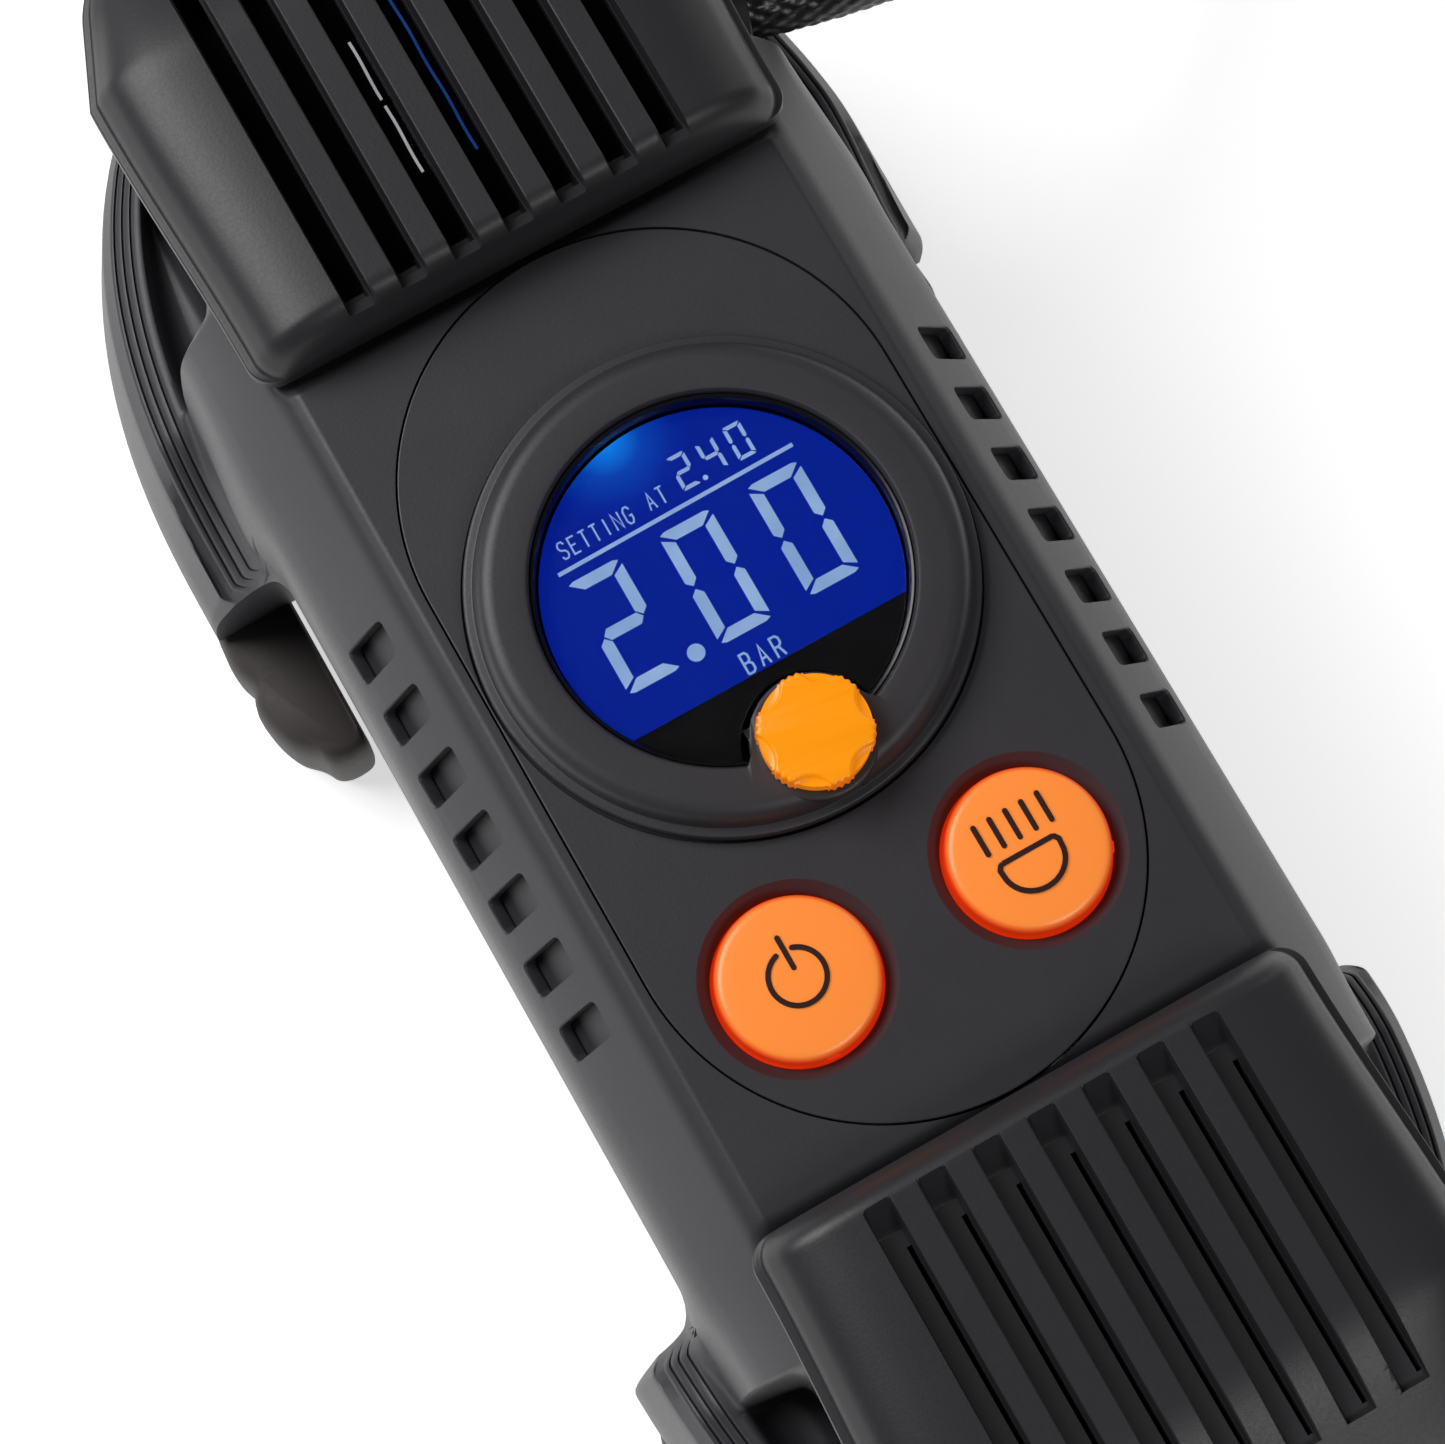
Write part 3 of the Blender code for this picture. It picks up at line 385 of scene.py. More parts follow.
def combine(obj, other, operation="DIFFERENCE"):
    """Cuts or joins and applies at once, keeping the sharp edges."""
    modifier = obj.modifiers.new("cut", "BOOLEAN")
    modifier.operation = operation
    modifier.object = other
    modifier.solver = "EXACT"
    graph = bpy.context.evaluated_depsgraph_get()
    mesh = bpy.data.meshes.new_from_object(obj.evaluated_get(graph))
    obj.modifiers.clear()
    obj.data = mesh
    bpy.data.objects.remove(other)
    mesh.shade_smooth()
    mesh.set_sharp_from_angle(angle=math.radians(32))
    return obj


def even_shading(obj):
    """Lets the large flat faces set the normals, so that small roundings shade no further than their own width."""
    modifier = obj.modifiers.new("even", "WEIGHTED_NORMAL")
    modifier.keep_sharp = True
    modifier.weight = 100
    graph = bpy.context.evaluated_depsgraph_get()
    mesh = bpy.data.meshes.new_from_object(obj.evaluated_get(graph))
    obj.modifiers.clear()
    obj.data = mesh
    return obj


def place(obj, body, slot, *nodes):
    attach(obj, body)
    if nodes:
        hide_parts(*nodes)
    return obj


def arc(cx, cy, radius, start, end, steps):
    angles = [math.radians(start + (end - start) * i / steps) for i in range(steps + 1)]
    return [(cx + radius * math.cos(a), cy + radius * math.sin(a)) for a in angles]


def stadium(radius, arc_y, steps=64):
    return arc(0, arc_y, radius, 0, 180, steps) + arc(0, -arc_y, radius, 180, 360, steps)


def raised(outline, z):
    return [(x, y, z) for x, y in outline]


def prism(outline, low, high):
    return bridged([raised(outline, low), raised(outline, high)])


def eased(points, radii, steps=4, closed=False):
    """The outline with each corner eased by a curve that starts its radius before the corner."""
    result = []
    count = len(points)
    for i, point in enumerate(points):
        if radii[i] == 0 or (not closed and i in (0, count - 1)):
            result.append(tuple(point))
            continue
        here = Vector(point)
        back = Vector(points[i - 1]) - here
        ahead = Vector(points[(i + 1) % count]) - here
        first = here + back.normalized() * min(radii[i], 0.46 * back.length)
        last = here + ahead.normalized() * min(radii[i], 0.46 * ahead.length)
        for k in range(steps + 1):
            t = k / steps
            result.append(tuple(first * (1 - t) ** 2 + here * 2 * t * (1 - t) + last * t * t))
    return result


def smooth_step(start, end, value):
    t = min(1.0, max(0.0, (value - start) / (end - start)))
    return t * t * (3 - 2 * t)


def mix(first, second, t):
    return [(a[0] + (b[0] - a[0]) * t, a[1] + (b[1] - a[1]) * t) for a, b in zip(first, second)]


def spaced(start, end, step):
    count = max(1, round((end - start) / step))
    return [start + (end - start) * i / count for i in range(count)]


# ---------------------------------------------------------------- housing outlines

def wing_half(y):
    run = max(0.0, abs(y) - WING_START) / WING_RUN
    return WING_HALF * math.sqrt(max(0.0, 1 - run ** 2.4))


def core_half(y):
    return min(32.2, wing_half(y) - 9.8)


def core_top(y):
    y = abs(y)
    return CONSOLE_Z - 2.0 * smooth_step(51.5, 54.5, y) - 26.0 * smooth_step(103.0, 119.0, y)


# Offsets in from the wing's edge at which the groove band is sampled, and how deep each point lies
FINE_GROOVES = (7.3, 6.1, 4.95)
WIDE_GROOVE = (4.2, 2.75)


def groove_samples():
    samples = []
    for centre in FINE_GROOVES:
        samples += [(centre + 0.42, 0.0), (centre + 0.22, 0.06), (centre, 0.5), (centre - 0.14, 0.06),
                    (centre - 0.34, 0.0)]
    outer, inner = WIDE_GROOVE
    samples += [(outer + 0.25, 0.0), (outer, 0.2), (outer - 0.12, 0.75), (inner + 0.25, 0.85), (inner + 0.08, 0.5),
                (inner - 0.12, 0.05), (inner - 0.4, 0.0)]
    return samples


def run_lengths(polyline):
    """Distance along a polyline at each of its points."""
    lengths = [0.0]
    for (x0, z0), (x1, z1) in zip(polyline, polyline[1:]):
        lengths.append(lengths[-1] + math.hypot(x1 - x0, z1 - z0))
    return lengths


def at_length(polyline, lengths, wanted):
    for i in range(len(polyline) - 1):
        if wanted <= lengths[i + 1] or i == len(polyline) - 2:
            t = (wanted - lengths[i]) / max(1e-9, lengths[i + 1] - lengths[i])
            t = min(1.0, max(0.0, t))
            (x0, z0), (x1, z1) = polyline[i], polyline[i + 1]
            return (x0 + (x1 - x0) * t, z0 + (z1 - z0) * t)


def length_at_x(polyline, lengths, x_wanted):
    """Distance along a polyline to the last place where it crosses a wanted x."""
    for i in range(len(polyline) - 2, -1, -1):
        x0, x1 = polyline[i][0], polyline[i + 1][0]
        if x0 <= x_wanted <= x1 and x1 - x0 > 1e-6:
            return lengths[i] + (lengths[i + 1] - lengths[i]) * (x_wanted - x0) / (x1 - x0)
    return lengths[-1] * 0.5


def shell_half(y):
    """Half section of the upper shell from the top centre out and down, with eased corners and grooves."""
    wing, core, top = wing_half(y), core_half(y), core_top(y)
    waist = [(0, 78), (CONSOLE_HALF, 78), (31.6, 77), (36.0, 70.8), (39.4, 65.4), (WAIST_HALF, 60),
             (WAIST_HALF, 52), (WAIST_HALF, 46), (WAIST_HALF, 38), (WAIST_HALF, 30), (WAIST_HALF, 22),
             (WAIST_HALF, RIM_Z)]
    rise = smooth_step(48.0, 66.0, abs(y))
    flank = [(0, 78), (CONSOLE_HALF, 78), (31.6, 77), (36.0, 70.8), (39.6 - 0.6 * rise, 65.2),
             (41.2 - 1.3 * rise, 57 + rise), (42.0 - 1.7 * rise, 49 + 4 * rise),
             (min(42.6 - 2.0 * rise, wing - 9.3), 42 + 7 * rise),
             (44.2 + (wing - 53.2) * rise, 37.5 + 8.5 * rise), (wing - 2.6 - 0.6 * rise, 34 + 9 * rise),
             (wing, WING_Z), (wing, RIM_Z)]
    round_end = math.sqrt(max(0.0, 1 - (max(0.0, 72.0 - abs(y)) / 6.0) ** 2))
    hollow = max(0.8, wing - 9.0 - core)
    inner_x = core + hollow * 0.45 * (1 - round_end)
    fall = top - 1.2 - 44.5
    pocket = [(0, top), (core - 2.0, top), (inner_x, 44.5 + fall), (inner_x, 44.5 + 0.7 * fall),
              (inner_x, 44.5 + 0.33 * fall), (inner_x, 44.5), (inner_x + 0.2 * hollow, 41.5),
              (core + (0.8 - 0.25 * (1 - round_end)) * hollow, 41.5),
              (core + hollow, 46), (wing - 3.2, 43), (wing, WING_Z), (wing, RIM_Z)]
    section = mix(waist, flank, swell(y))
    section = mix(section, pocket, smooth_step(65.6, 67.8, abs(y)))
    section[0] = (0, top)
    section[1] = (section[1][0], top)

    inner = eased(section[:10], [0, 0.35, 1.6, 4, 5, 5, 5, 3, 1.2, 0], 4)
    line = [*inner, section[10]]
    lengths = run_lengths(line)
    edge_x = section[10][0]
    arch = FRONT_ARCH_Y if y > 0 else REAR_ARCH_Y
    open_ = smooth_step(arch - 0.4, arch + 1.0, abs(y))
    depth = smooth_step(arch + 0.4, arch + 2.6, abs(y)) * (1 - smooth_step(107.0, 111.0, abs(y)))
    samples = groove_samples()
    start, end = lengths[-2] - 6.5, lengths[-2] + 3.0
    places = []
    for k, (offset, down) in enumerate(samples):
        even = start + (end - start) * k / len(samples)
        crossing = length_at_x(line, lengths, edge_x - offset)
        places.append(even + (crossing - even) * open_)
    for k in range(1, len(places)):
        places[k] = max(places[k], places[k - 1] + 0.01)
    grooved = []
    for wanted, (offset, down) in zip(places, samples):
        x, z = at_length(line, lengths, wanted)
        grooved.append((x, z - down * depth))
    kept = [length for length in lengths[:len(inner) - 1] if length < places[0] - 0.15]
    missing = len(inner) - 1 - len(kept)
    last = kept[-1]
    kept += [last + (places[0] - last) * (j + 1) / (missing + 1) for j in range(missing)]
    inside = [at_length(line, lengths, length) for length in kept]
    lip = eased([grooved[-1], section[10], section[11]], [0, 8.0, 0], 8)
    return inside + grooved + lip[1:]


def cavity_half(y):
    core, wing = core_half(y), wing_half(y)
    top = core_top(y) - 2.6
    waist = [(0, top), (27.6, top), (34.2, 66.5), (37.6, 61), (37.6, 50), (37.6, 38), (37.6, RIM_Z - 6)]
    ends = [(0, top), (core - 3.4, top), (core - 2.6, top - 1.6), (core - 2.6, 38.5), (wing - 6.5, 36.5),
            (wing - 3.2, 25), (wing - 3.2, RIM_Z - 6)]
    return mix(waist, ends, smooth_step(50.0, 56.0, abs(y)))


def ring_of(half, y):
    right = [(x, y, z) for x, z in half]
    left = [(-x, y, z) for x, z in reversed(half[1:])]
    return right + left


def lofted(stations, half_section):
    return bridged([ring_of(half_section(y), y) for y in stations])


# ---------------------------------------------------------------- housing pieces

def recess_cutter(side, y):
    """A rounded pocket cutter, flared where it meets the side slope."""
    slope = math.atan2(70.8 - 65.4, 39.4 - 36.0)
    turn = Matrix.Rotation(side * slope, 3, "Y")
    centre = Vector((side * 36.2, y, 70.5))
    levels = ((-2.0, -0.5), (-1.95, -0.28), (-1.78, -0.1), (-1.5, 0.0), (-0.34, 0.0), (-0.24, 0.03), (-0.12, 0.1),
              (0.0, 0.24), (0.1, 0.42), (3.0, 0.55))
    rings = []
    for level, grow in levels:
        corners = [(4.0, 2.1), (-4.3, 2.1), (-4.3, -2.1), (4.0, -2.1)]
        outline = eased([(x + math.copysign(grow, x), y_ + math.copysign(grow, y_)) for x, y_ in corners],
                        [0.9 + grow] * 4, 4, closed=True)
        rings.append([centre + turn @ Vector((x, y_, level)) for x, y_ in outline])
    return bridged(rings)


FRONT_ARCH_Y = 45.8
REAR_ARCH_Y = 55.6


def swell(y):
    """How far the waist has grown into the wings at a station: 0 at the waist, 1 past the arch."""
    arch = FRONT_ARCH_Y if y > 0 else REAR_ARCH_Y
    return smooth_step(arch - 4.6, arch + 2.6, abs(y))


def side_arch_cutter():
    curve = [(3.2, 8), (1.6, 27), (0.4, 37), (-1.2, 42.0), (-3.8, 44.4), (-8.0, 45.3), (-13.0, 45.6), (-21.0, 45.7)]
    profile = [(FRONT_ARCH_Y + y, z) for y, z in curve] + [(-REAR_ARCH_Y - y, z) for y, z in reversed(curve)]
    profile = eased(profile, [0] + [2.2] * (len(profile) - 2) + [0], 4)
    return bridged([[(-60, y, z) for y, z in profile], [(60, y, z) for y, z in profile]])


def make_upper_shell():
    half = ([0.0] + spaced(1.0, 40.0, 9.0)[1:] + spaced(40.0, 49.0, 0.35)
            + spaced(49.0, 62.0, 0.4) + spaced(62.0, 72.0, 0.3) + spaced(72.0, 100.0, 2.0) + spaced(100.0, 114.0, 1.0)
            + spaced(114.0, HALF_LENGTH, 0.6) + [HALF_LENGTH])
    stations = [-y for y in reversed(half)] + half[1:]
    shell = clean(piece("housing_shell", *lofted(stations, shell_half), CHARCOAL))
    cavity_y = [-109, -103, -96, -86, -76, -66, -56, -54, -52, -50, 50, 52, 54, 56, 66, 76, 86, 96, 103, 109]
    combine(shell, merged("cavity", [lofted(cavity_y, cavity_half)]))
    cutters = [side_arch_cutter(), prism(stadium(PANEL_R + 0.22, PANEL_ARC_Y), 74.0, 80.0)]
    for side in (1, -1):
        vent = [(-22, side * 60), (22, side * 60), (22, side * 98), (-22, side * 98)]
        cutters.append(prism(vent, 70, 82))
        for i in range(RECESS_COUNT):
            cutters.append(recess_cutter(side, (i - (RECESS_COUNT - 1) / 2) * RECESS_PITCH))
        direction = Vector((HOSE_DIRECTION[0], side * HOSE_DIRECTION[1], 0))
        bore = [(0, 0), (6.3, 0), (6.3, 9.0), (0, 9.0)]
        cutters.append(turned_parts(bore, 48, (26.0, side * 79.7, 54.0), direction))
    window = [(-17.3, 22.7), (17.3, 22.7), (17.3, 35.3), (-17.3, 35.3)]
    window = eased(window, [1.5] * 4, 4, closed=True)
    cutters.append(bridged([[(x, -130, z) for x, z in window], [(x, -100, z) for x, z in window]]))
    combine(shell, merged("shell_cutters", cutters))
    even_shading(shell)
    return place(shell, "housing", "charcoal_plastic", "upper_shell")


def make_panel():
    """The stadium plate, with a moat under the bezel and two flared button wells."""
    levels = ((75.0, 0.0), (77.78, 0.0), (77.92, 0.05), (78.0, 0.2))
    rings = [raised(stadium(PANEL_R - inset, PANEL_ARC_Y, 72), z) for z, inset in levels]
    panel = piece("control_plate", *bridged(rings), CHARCOAL)
    hole = turned_parts([(0, 72), (26.3, 72), (26.3, 77.2), (28.22, 77.2), (28.22, 77.9), (28.34, 78.02),
                         (28.34, 82), (0, 82)], 144, (0, DISPLAY_Y, 0))
    well = [(0, 72), (9.35, 72), (9.35, 76.2), (9.5, 76.6), (10.3, 77.45), (10.55, 77.8), (10.75, 78.0),
            (11.0, 78.05), (11.0, 82), (0, 82)]
    wells = [turned_parts(well, 112, (x, BUTTON_Y, 0)) for x in (-BUTTON_X, BUTTON_X)]
    combine(panel, merged("panel_cutters", [hole, *wells]))
    even_shading(panel)
    return place(panel, "housing", "charcoal_plastic", "control_panel")


def bezel_inner(angle):
    """Radius of the bezel's inner edge: a circle that runs in around the boss under the knob."""
    reach, boss = DISPLAY_Y - KNOB_Y, 7.05
    off = abs(math.atan2(math.sin(angle + math.pi / 2), math.cos(angle + math.pi / 2)))
    inner = WINDOW_R + 0.65
    limit = math.asin(boss / reach)
    cosine = reach * math.cos(min(off, limit * 0.995))
    near = cosine - math.sqrt(max(0.0, boss ** 2 - (reach * math.sin(min(off, limit * 0.995))) ** 2))
    ease = smooth_step(math.radians(18.4), math.radians(22.4), off)
    return near + (inner - near) * ease


def make_bezel():
    outer = [(24.4, 82.4), (25.0, 82.34), (25.6, 82.12), (26.1, 81.75), (26.5, 81.2), (26.75, 80.5), (26.85, 79.95),
             (26.95, 79.78), (27.15, 79.72), (27.6, 79.72), (27.85, 79.62), (27.98, 79.4), (28.0, 79.1), (28.0, 78.3),
             (26.0, 78.3), (26.0, 76.6)]
    angles = []
    for i in range(240):
        angles.append(2 * math.pi * i / 240 - math.pi / 2)
    for i in range(60):
        near_edge = math.radians(16.02 + 8.0 * i / 60)
        angles += [near_edge - math.pi / 2, 1.5 * math.pi - near_edge]
    rings = []
    for angle in sorted(set(round(a, 6) for a in angles)):
        edge = bezel_inner(angle)
        low = min(edge, WINDOW_R + 0.65)
        profile = [(low, 76.6), (low, 81.7), (low + 0.08, 82.05), (low + 0.3, 82.32), (low + 0.6, 82.4),
                   (max(low + 0.7, 22.6), 82.4), *outer]
        rings.append([(r * math.cos(angle), DISPLAY_Y + r * math.sin(angle), z) for r, z in profile])
    rings.append(rings[0])
    bezel = even_shading(clean(piece("display_ring", *bridged(rings, caps=False), CHARCOAL)))
    collar = [(0, 77.4), (7.0, 77.4), (7.0, 82.0), (6.93, 82.22), (6.75, 82.34), (6.5, 82.37), (0, 82.37)]
    collar = even_shading(turned("knob_collar", collar, CHARCOAL, 96, (0, KNOB_Y, 0)))
    bore = turned_parts([(0, 70), (3.0, 70), (3.0, 90), (0, 90)], 48, (0, KNOB_Y, 0))
    combine(collar, merged("collar_bore", [bore]))
    place(collar, "housing", "charcoal_plastic")
    return place(bezel, "housing", "charcoal_plastic", "display_bezel")


# ---------------------------------------------------------------- end covers

def cover_half(y):
    corner = 30.2 + 3.2 * math.sqrt(max(0.0, 1 - (max(0.0, COVER_START + 3.2 - y) / 3.2) ** 2))
    side = corner + 1.2 * smooth_step(56.0, 90.0, y)
    return side - 0.42 * max(0.0, y - 91.0) - 0.16 * max(0.0, y - 101.0) ** 1.35


def cover_top(y):
    front = math.sqrt(max(0.0, 1 - (max(0.0, COVER_START + 3.4 - y) / 3.4) ** 2))
    back = math.sqrt(max(0.0, 1 - (max(0.0, y - COVER_END + 4.0) / 4.0) ** 2))
    return COVER_TOP - 5.6 * (1 - front) - 6.2 * smooth_step(88.0, 113.0, y) - 1.2 * (1 - back)


def cover_section(y):
    """Half section of an end cover: flat top, broad soft shoulder and a thin lip."""
    lip, top = cover_half(y), cover_top(y)
    shoulder = COVER_BASE + 1.8
    rise = top - shoulder
    outline = [(0, top), (lip - 12.6, top), (lip - 7.4, shoulder + 0.9 * rise), (lip - 3.6, shoulder + 0.66 * rise),
               (lip - 1.3, shoulder + 0.2 * rise), (lip - 1.0, shoulder), (lip - 0.1, shoulder - 0.16),
               (lip, shoulder - 0.5), (lip, COVER_BASE)]
    return eased(outline, [0, 3.2, 3.2, 3.0, 1.0, 0.18, 0.3, 0.3, 0], 6)


def cover_cavity(y):
    lip = cover_half(y)
    return [(0, 82.0), (lip - 9.0, 82.0), (lip - 6.0, 80.6), (lip - 3.4, COVER_BASE - 2)]


def slot_floor(y, start):
    ramp = 83.5 + max(0.0, start + 3.4 - y) * (0.62 if start < 55 else 1.05)
    return max(cover_top(y) - 3.5, ramp)


def slot_section(x, y, start):
    """Section of the cutter for one louvre slot: rounded rims, walls with draft and a floor with soft corners."""
    top, floor = cover_top(y), slot_floor(y, start)
    floor = min(floor, top + 1.0)
    rim = min(0.32, max(0.02, (top - floor) * 0.4))
    half = 1.6
    side = [(half + 0.26, top + 3.0), (half + 0.26, top + 0.03), (half + 0.07, top - 0.3 * rim), (half, top - rim),
            (half - 0.06, floor + 0.28), (half - 0.3, floor)]
    return [(x + dx, y, z) for dx, z in side] + [(x - dx, y, z) for dx, z in reversed(side)]


def make_cover(name, node, side):
    stations = ([53.1, 53.13, 53.2, 53.3, 53.45, 53.65, 53.9, 54.2, 54.5, 54.9, 55.3, 55.7, 56.1, 56.5]
                + spaced(57.0, 88.0, 2.0) + spaced(88.0, 106.0, 0.75) + spaced(106.0, COVER_END, 0.4)
                + [COVER_END - 0.08, COVER_END])
    rings = [[(x, side * y, z) for x, y, z in ring_of(cover_section(y), y)] for y in stations]
    cover = clean(piece(name, *bridged(rings), COVER))
    hollow = [[(x, side * y, z) for x, y, z in ring_of(cover_cavity(y), y)] for y in (58, 70, 84, 91, 97, 102)]
    combine(cover, merged(name + "_hollow", [bridged(hollow)]))
    slots, slits = [], []
    for i in range(SLOT_COUNT):
        x = (i - (SLOT_COUNT - 1) / 2) * SLOT_PITCH
        start = 53.6 if side > 0 else 56.1
        run = spaced(start, 60.2, 0.3) + spaced(60.2, 88.0, 4.0) + spaced(88.0, 99.0, 1.0) + [99.0]
        slots.append(bridged([[(px, side * py, pz) for px, py, pz in slot_section(x, y, start)] for y in run]))
        low, high = sorted((side * (55.6 if side > 0 else 61.5), side * 98.0))
        left, right = (x - 1.25, x + 1.4) if side > 0 else (x + 0.85, x + 1.45)
        slits.append(prism([(left, low), (right, low), (right, high), (left, high)], 79.0, 84.6))
    combine(cover, merged(name + "_slots", slots))
    combine(cover, merged(name + "_slits", slits))
    even_shading(cover)
    return place(cover, "housing", "cover_plastic", node)


def make_louvre_shade_sheets():
    """Thin black sheets under the louvres, painted shade that keeps the slots dark, with thin glowing strips lying on
    them as painted glints.
    """
    for name, side, painted_glints in (("front", 1, ((-5.55, 67.6, 76.4, PAINTED_GLINT_WHITE), (-5.5, 77.3, 85.0, PAINTED_GLINT_WHITE),
                                            (0.95, 67.0, 88.5, PAINTED_GLINT_BLUE))),
                              ("rear", -1, ((1.0, 71.2, 74.9, PAINTED_GLINT_BLUE), (1.0, 76.2, 86.6, PAINTED_GLINT_BLUE),
                                            (-5.5, 70.4, 73.4, PAINTED_GLINT_BLUE), (-5.5, 77.6, 85.3, PAINTED_GLINT_BLUE)))):
        low, high = sorted((side * 56.6, side * 100.0))
        outline = eased([(-22.4, low), (22.4, low), (22.4, high), (-22.4, high)], [2.0] * 4, 4, closed=True)
        # Painted shade: a black sheet that darkens the slots and hides what lies under them.
        sheet = clean(piece(name + "_painted_shade_sheet", *prism(outline, 77.2, 77.6), PAINTED_SHADE_BLACK))
        place(sheet, "housing", "dark_plastic")
        # Each strip is a painted glint that glows by itself.
        for number, (x, start, end, material) in enumerate(painted_glints):
            low, high = sorted((side * start, side * end))
            rings = []
            for y in spaced(low, high, 1.0) + [high]:
                bend = 0.06 * math.sin(y * 0.7)
                rings.append([(x + bend + 0.17 * math.cos(a), y, 77.78 + 0.17 * math.sin(a))
                              for a in [math.radians(30 * k) for k in range(12)]])
            glint_strip = clean(piece(f"{name}_painted_glint_{number}", *bridged(rings), material))
            place(glint_strip, "housing", "dark_plastic")


# ---------------------------------------------------------------- feet

FRONT_HEEL = 56.6
REAR_HEEL = 78.6
REAR_FOOT_DEPTH = 0.71      # the rear feet are shorter, so that they stay under the rear wings


def foot_outline():
    return [(40.0, 27.6), (43.4, 27.2), (45.6, 27.9), (46.5, 29.9), (48.9, 32.0), (50.1, 35.0), (50.7, 38.8),
            (49.5, 41.4), (50.8, 44.8), (50.3, 50.6), (47.4, 55.4), (44.0, 56.6), (40.0, 56.6)]


def make_feet():
    """Lobed rubber feet whose sides swell a little and whose edges are rounded."""
    levels = ((0.0, 2.4), (0.3, 1.6), (1.0, 0.9), (2.4, 0.4), (5.0, 0.1), (8.0, 0.0), (11.0, 0.0), (14.0, 0.2),
              (15.5, 0.8), (16.2, 1.8))
    for name, side_x, side_y, heel, depth in (("front_right_foot", 1, 1, FRONT_HEEL, 1.0),
                                              ("front_left_foot", -1, 1, FRONT_HEEL, 1.0),
                                              ("rear_right_foot", 1, -1, REAR_HEEL, REAR_FOOT_DEPTH),
                                              ("rear_left_foot", -1, -1, REAR_HEEL, REAR_FOOT_DEPTH)):
        outline = eased(foot_outline(), [1.6] * len(foot_outline()), 5, closed=True)
        centre = Vector((43.6, 41.0))
        rings = []
        for z, inset in levels:
            ring = []
            for x, y in outline:
                away = Vector((x, y)) - centre
                moved = centre + away * (1 - inset / max(away.length, 4.0))
                ring.append((side_x * moved.x, side_y * (heel - (FRONT_HEEL - moved.y) * depth), z))
            rings.append(ring)
        foot = clean(piece("rubber_" + name, *bridged(rings), RUBBER, 50))
        place(foot, "housing", "rubber", name)


# ---------------------------------------------------------------- display

def half_disc_outline(radius, chord_y):
    """Outline of a disc about the display's centre, kept above a chord at that height."""
    drop = chord_y - DISPLAY_Y
    start = math.degrees(math.asin(drop / radius))
    return arc(0, DISPLAY_Y, radius, start, 180 - start, 96)


def flat_shape(outline, low, high):
    return prism([(x, y) for x, y in outline], low, high)


SEGMENTS = {"0": "abcdef", "2": "abged", "4": "fgbc"}


def segment_outlines(figure, x, y, width, height, stroke, gap):
    """Outlines of the lit bars of one seven-segment figure, from its lower-left corner."""
    mid, clip = height / 2, 0.42 * stroke
    bars = {
        "a": [(gap + clip, height), (width - gap - clip, height), (width - gap, height - clip * 0.4),
              (width - stroke - gap, height - stroke), (stroke + gap, height - stroke), (gap, height - clip * 0.4)],
        "b": [(width, height - gap - clip), (width, mid + stroke * 0.45 + gap), (width - stroke / 2, mid + gap),
              (width - stroke, mid + stroke / 2 + gap), (width - stroke, height - stroke - gap)],
        "g": [(gap + stroke * 0.45, mid), (stroke, mid + stroke / 2), (width - stroke, mid + stroke / 2),
              (width - gap - stroke * 0.45, mid), (width - stroke, mid - stroke / 2), (stroke, mid - stroke / 2)],
    }
    bars["c"] = [(px, height - pz) for px, pz in bars["b"]]
    bars["d"] = [(px, height - pz) for px, pz in bars["a"]]
    bars["f"] = [(width - px, pz) for px, pz in bars["b"]]
    bars["e"] = [(width - px, pz) for px, pz in bars["c"]]
    return [[(x + px, y + py) for px, py in bars[bar]] for bar in SEGMENTS[figure]]


# Single-stroke letters on a grid 2 wide and 4 high
STROKES = {
    "A": (((0, 0), (1, 4), (2, 0)), ((0.4, 1.4), (1.6, 1.4))),
    "B": (((0, 0), (0, 4), (1.3, 4), (1.8, 3.5), (1.8, 2.6), (1.3, 2.1), (0, 2.1)),
          ((1.3, 2.1), (2, 1.6), (2, 0.5), (1.4, 0), (0, 0))),
    "E": (((2, 0), (0, 0), (0, 4), (2, 4)), ((0, 2.1), (1.6, 2.1))),
    "G": (((2, 3.2), (1.5, 4), (0.6, 4), (0, 3.2), (0, 0.8), (0.6, 0), (1.5, 0), (2, 0.8), (2, 1.8), (1.2, 1.8)),),
    "I": (((1, 0), (1, 4)),),
    "N": (((0, 0), (0, 4), (2, 0), (2, 4)),),
    "R": (((0, 0), (0, 4), (1.4, 4), (2, 3.5), (2, 2.5), (1.4, 2), (0, 2)), ((1.1, 2), (2, 0))),
    "S": (((2, 3.3), (1.5, 4), (0.5, 4), (0, 3.4), (0, 2.7), (0.4, 2.2), (1.6, 1.8), (2, 1.3), (2, 0.6), (1.5, 0),
           (0.5, 0), (0, 0.7)),),
    "T": (((0, 4), (2, 4)), ((1, 4), (1, 0))),
}


def stroke_band(points, width, low, high):
    """A thin raised line of constant width through points, with square ends."""
    path = [Vector(p) for p in points]
    left, right = [], []
    for i, here in enumerate(path):
        before = (here - path[i - 1]).normalized() if i else (path[1] - here).normalized()
        after = (path[i + 1] - here).normalized() if i + 1 < len(path) else before
        middle = (before + after).normalized()
        across = Vector((-middle.y, middle.x)) * (width / 2 / max(0.45, middle.dot(before)))
        left.append(here + across)
        right.append(here - across)
    rings = []
    for a, b in zip(left, right):
        rings.append([(a.x, a.y, low), (a.x, a.y, high), (b.x, b.y, high), (b.x, b.y, low)])
    return bridged(rings)


def lettering(text, x, y, height, advance, width, low, high):
    parts = []
    scale = height / 4
    for i, letter in enumerate(text):
        for stroke in STROKES.get(letter, ()):
            points = [(x + i * advance + px * scale * 0.78, y + py * scale) for px, py in stroke]
            parts.append(stroke_band(points, width, low, high))
    return parts


LCD_TOP = 78.95
CHORD_Y = -0.4


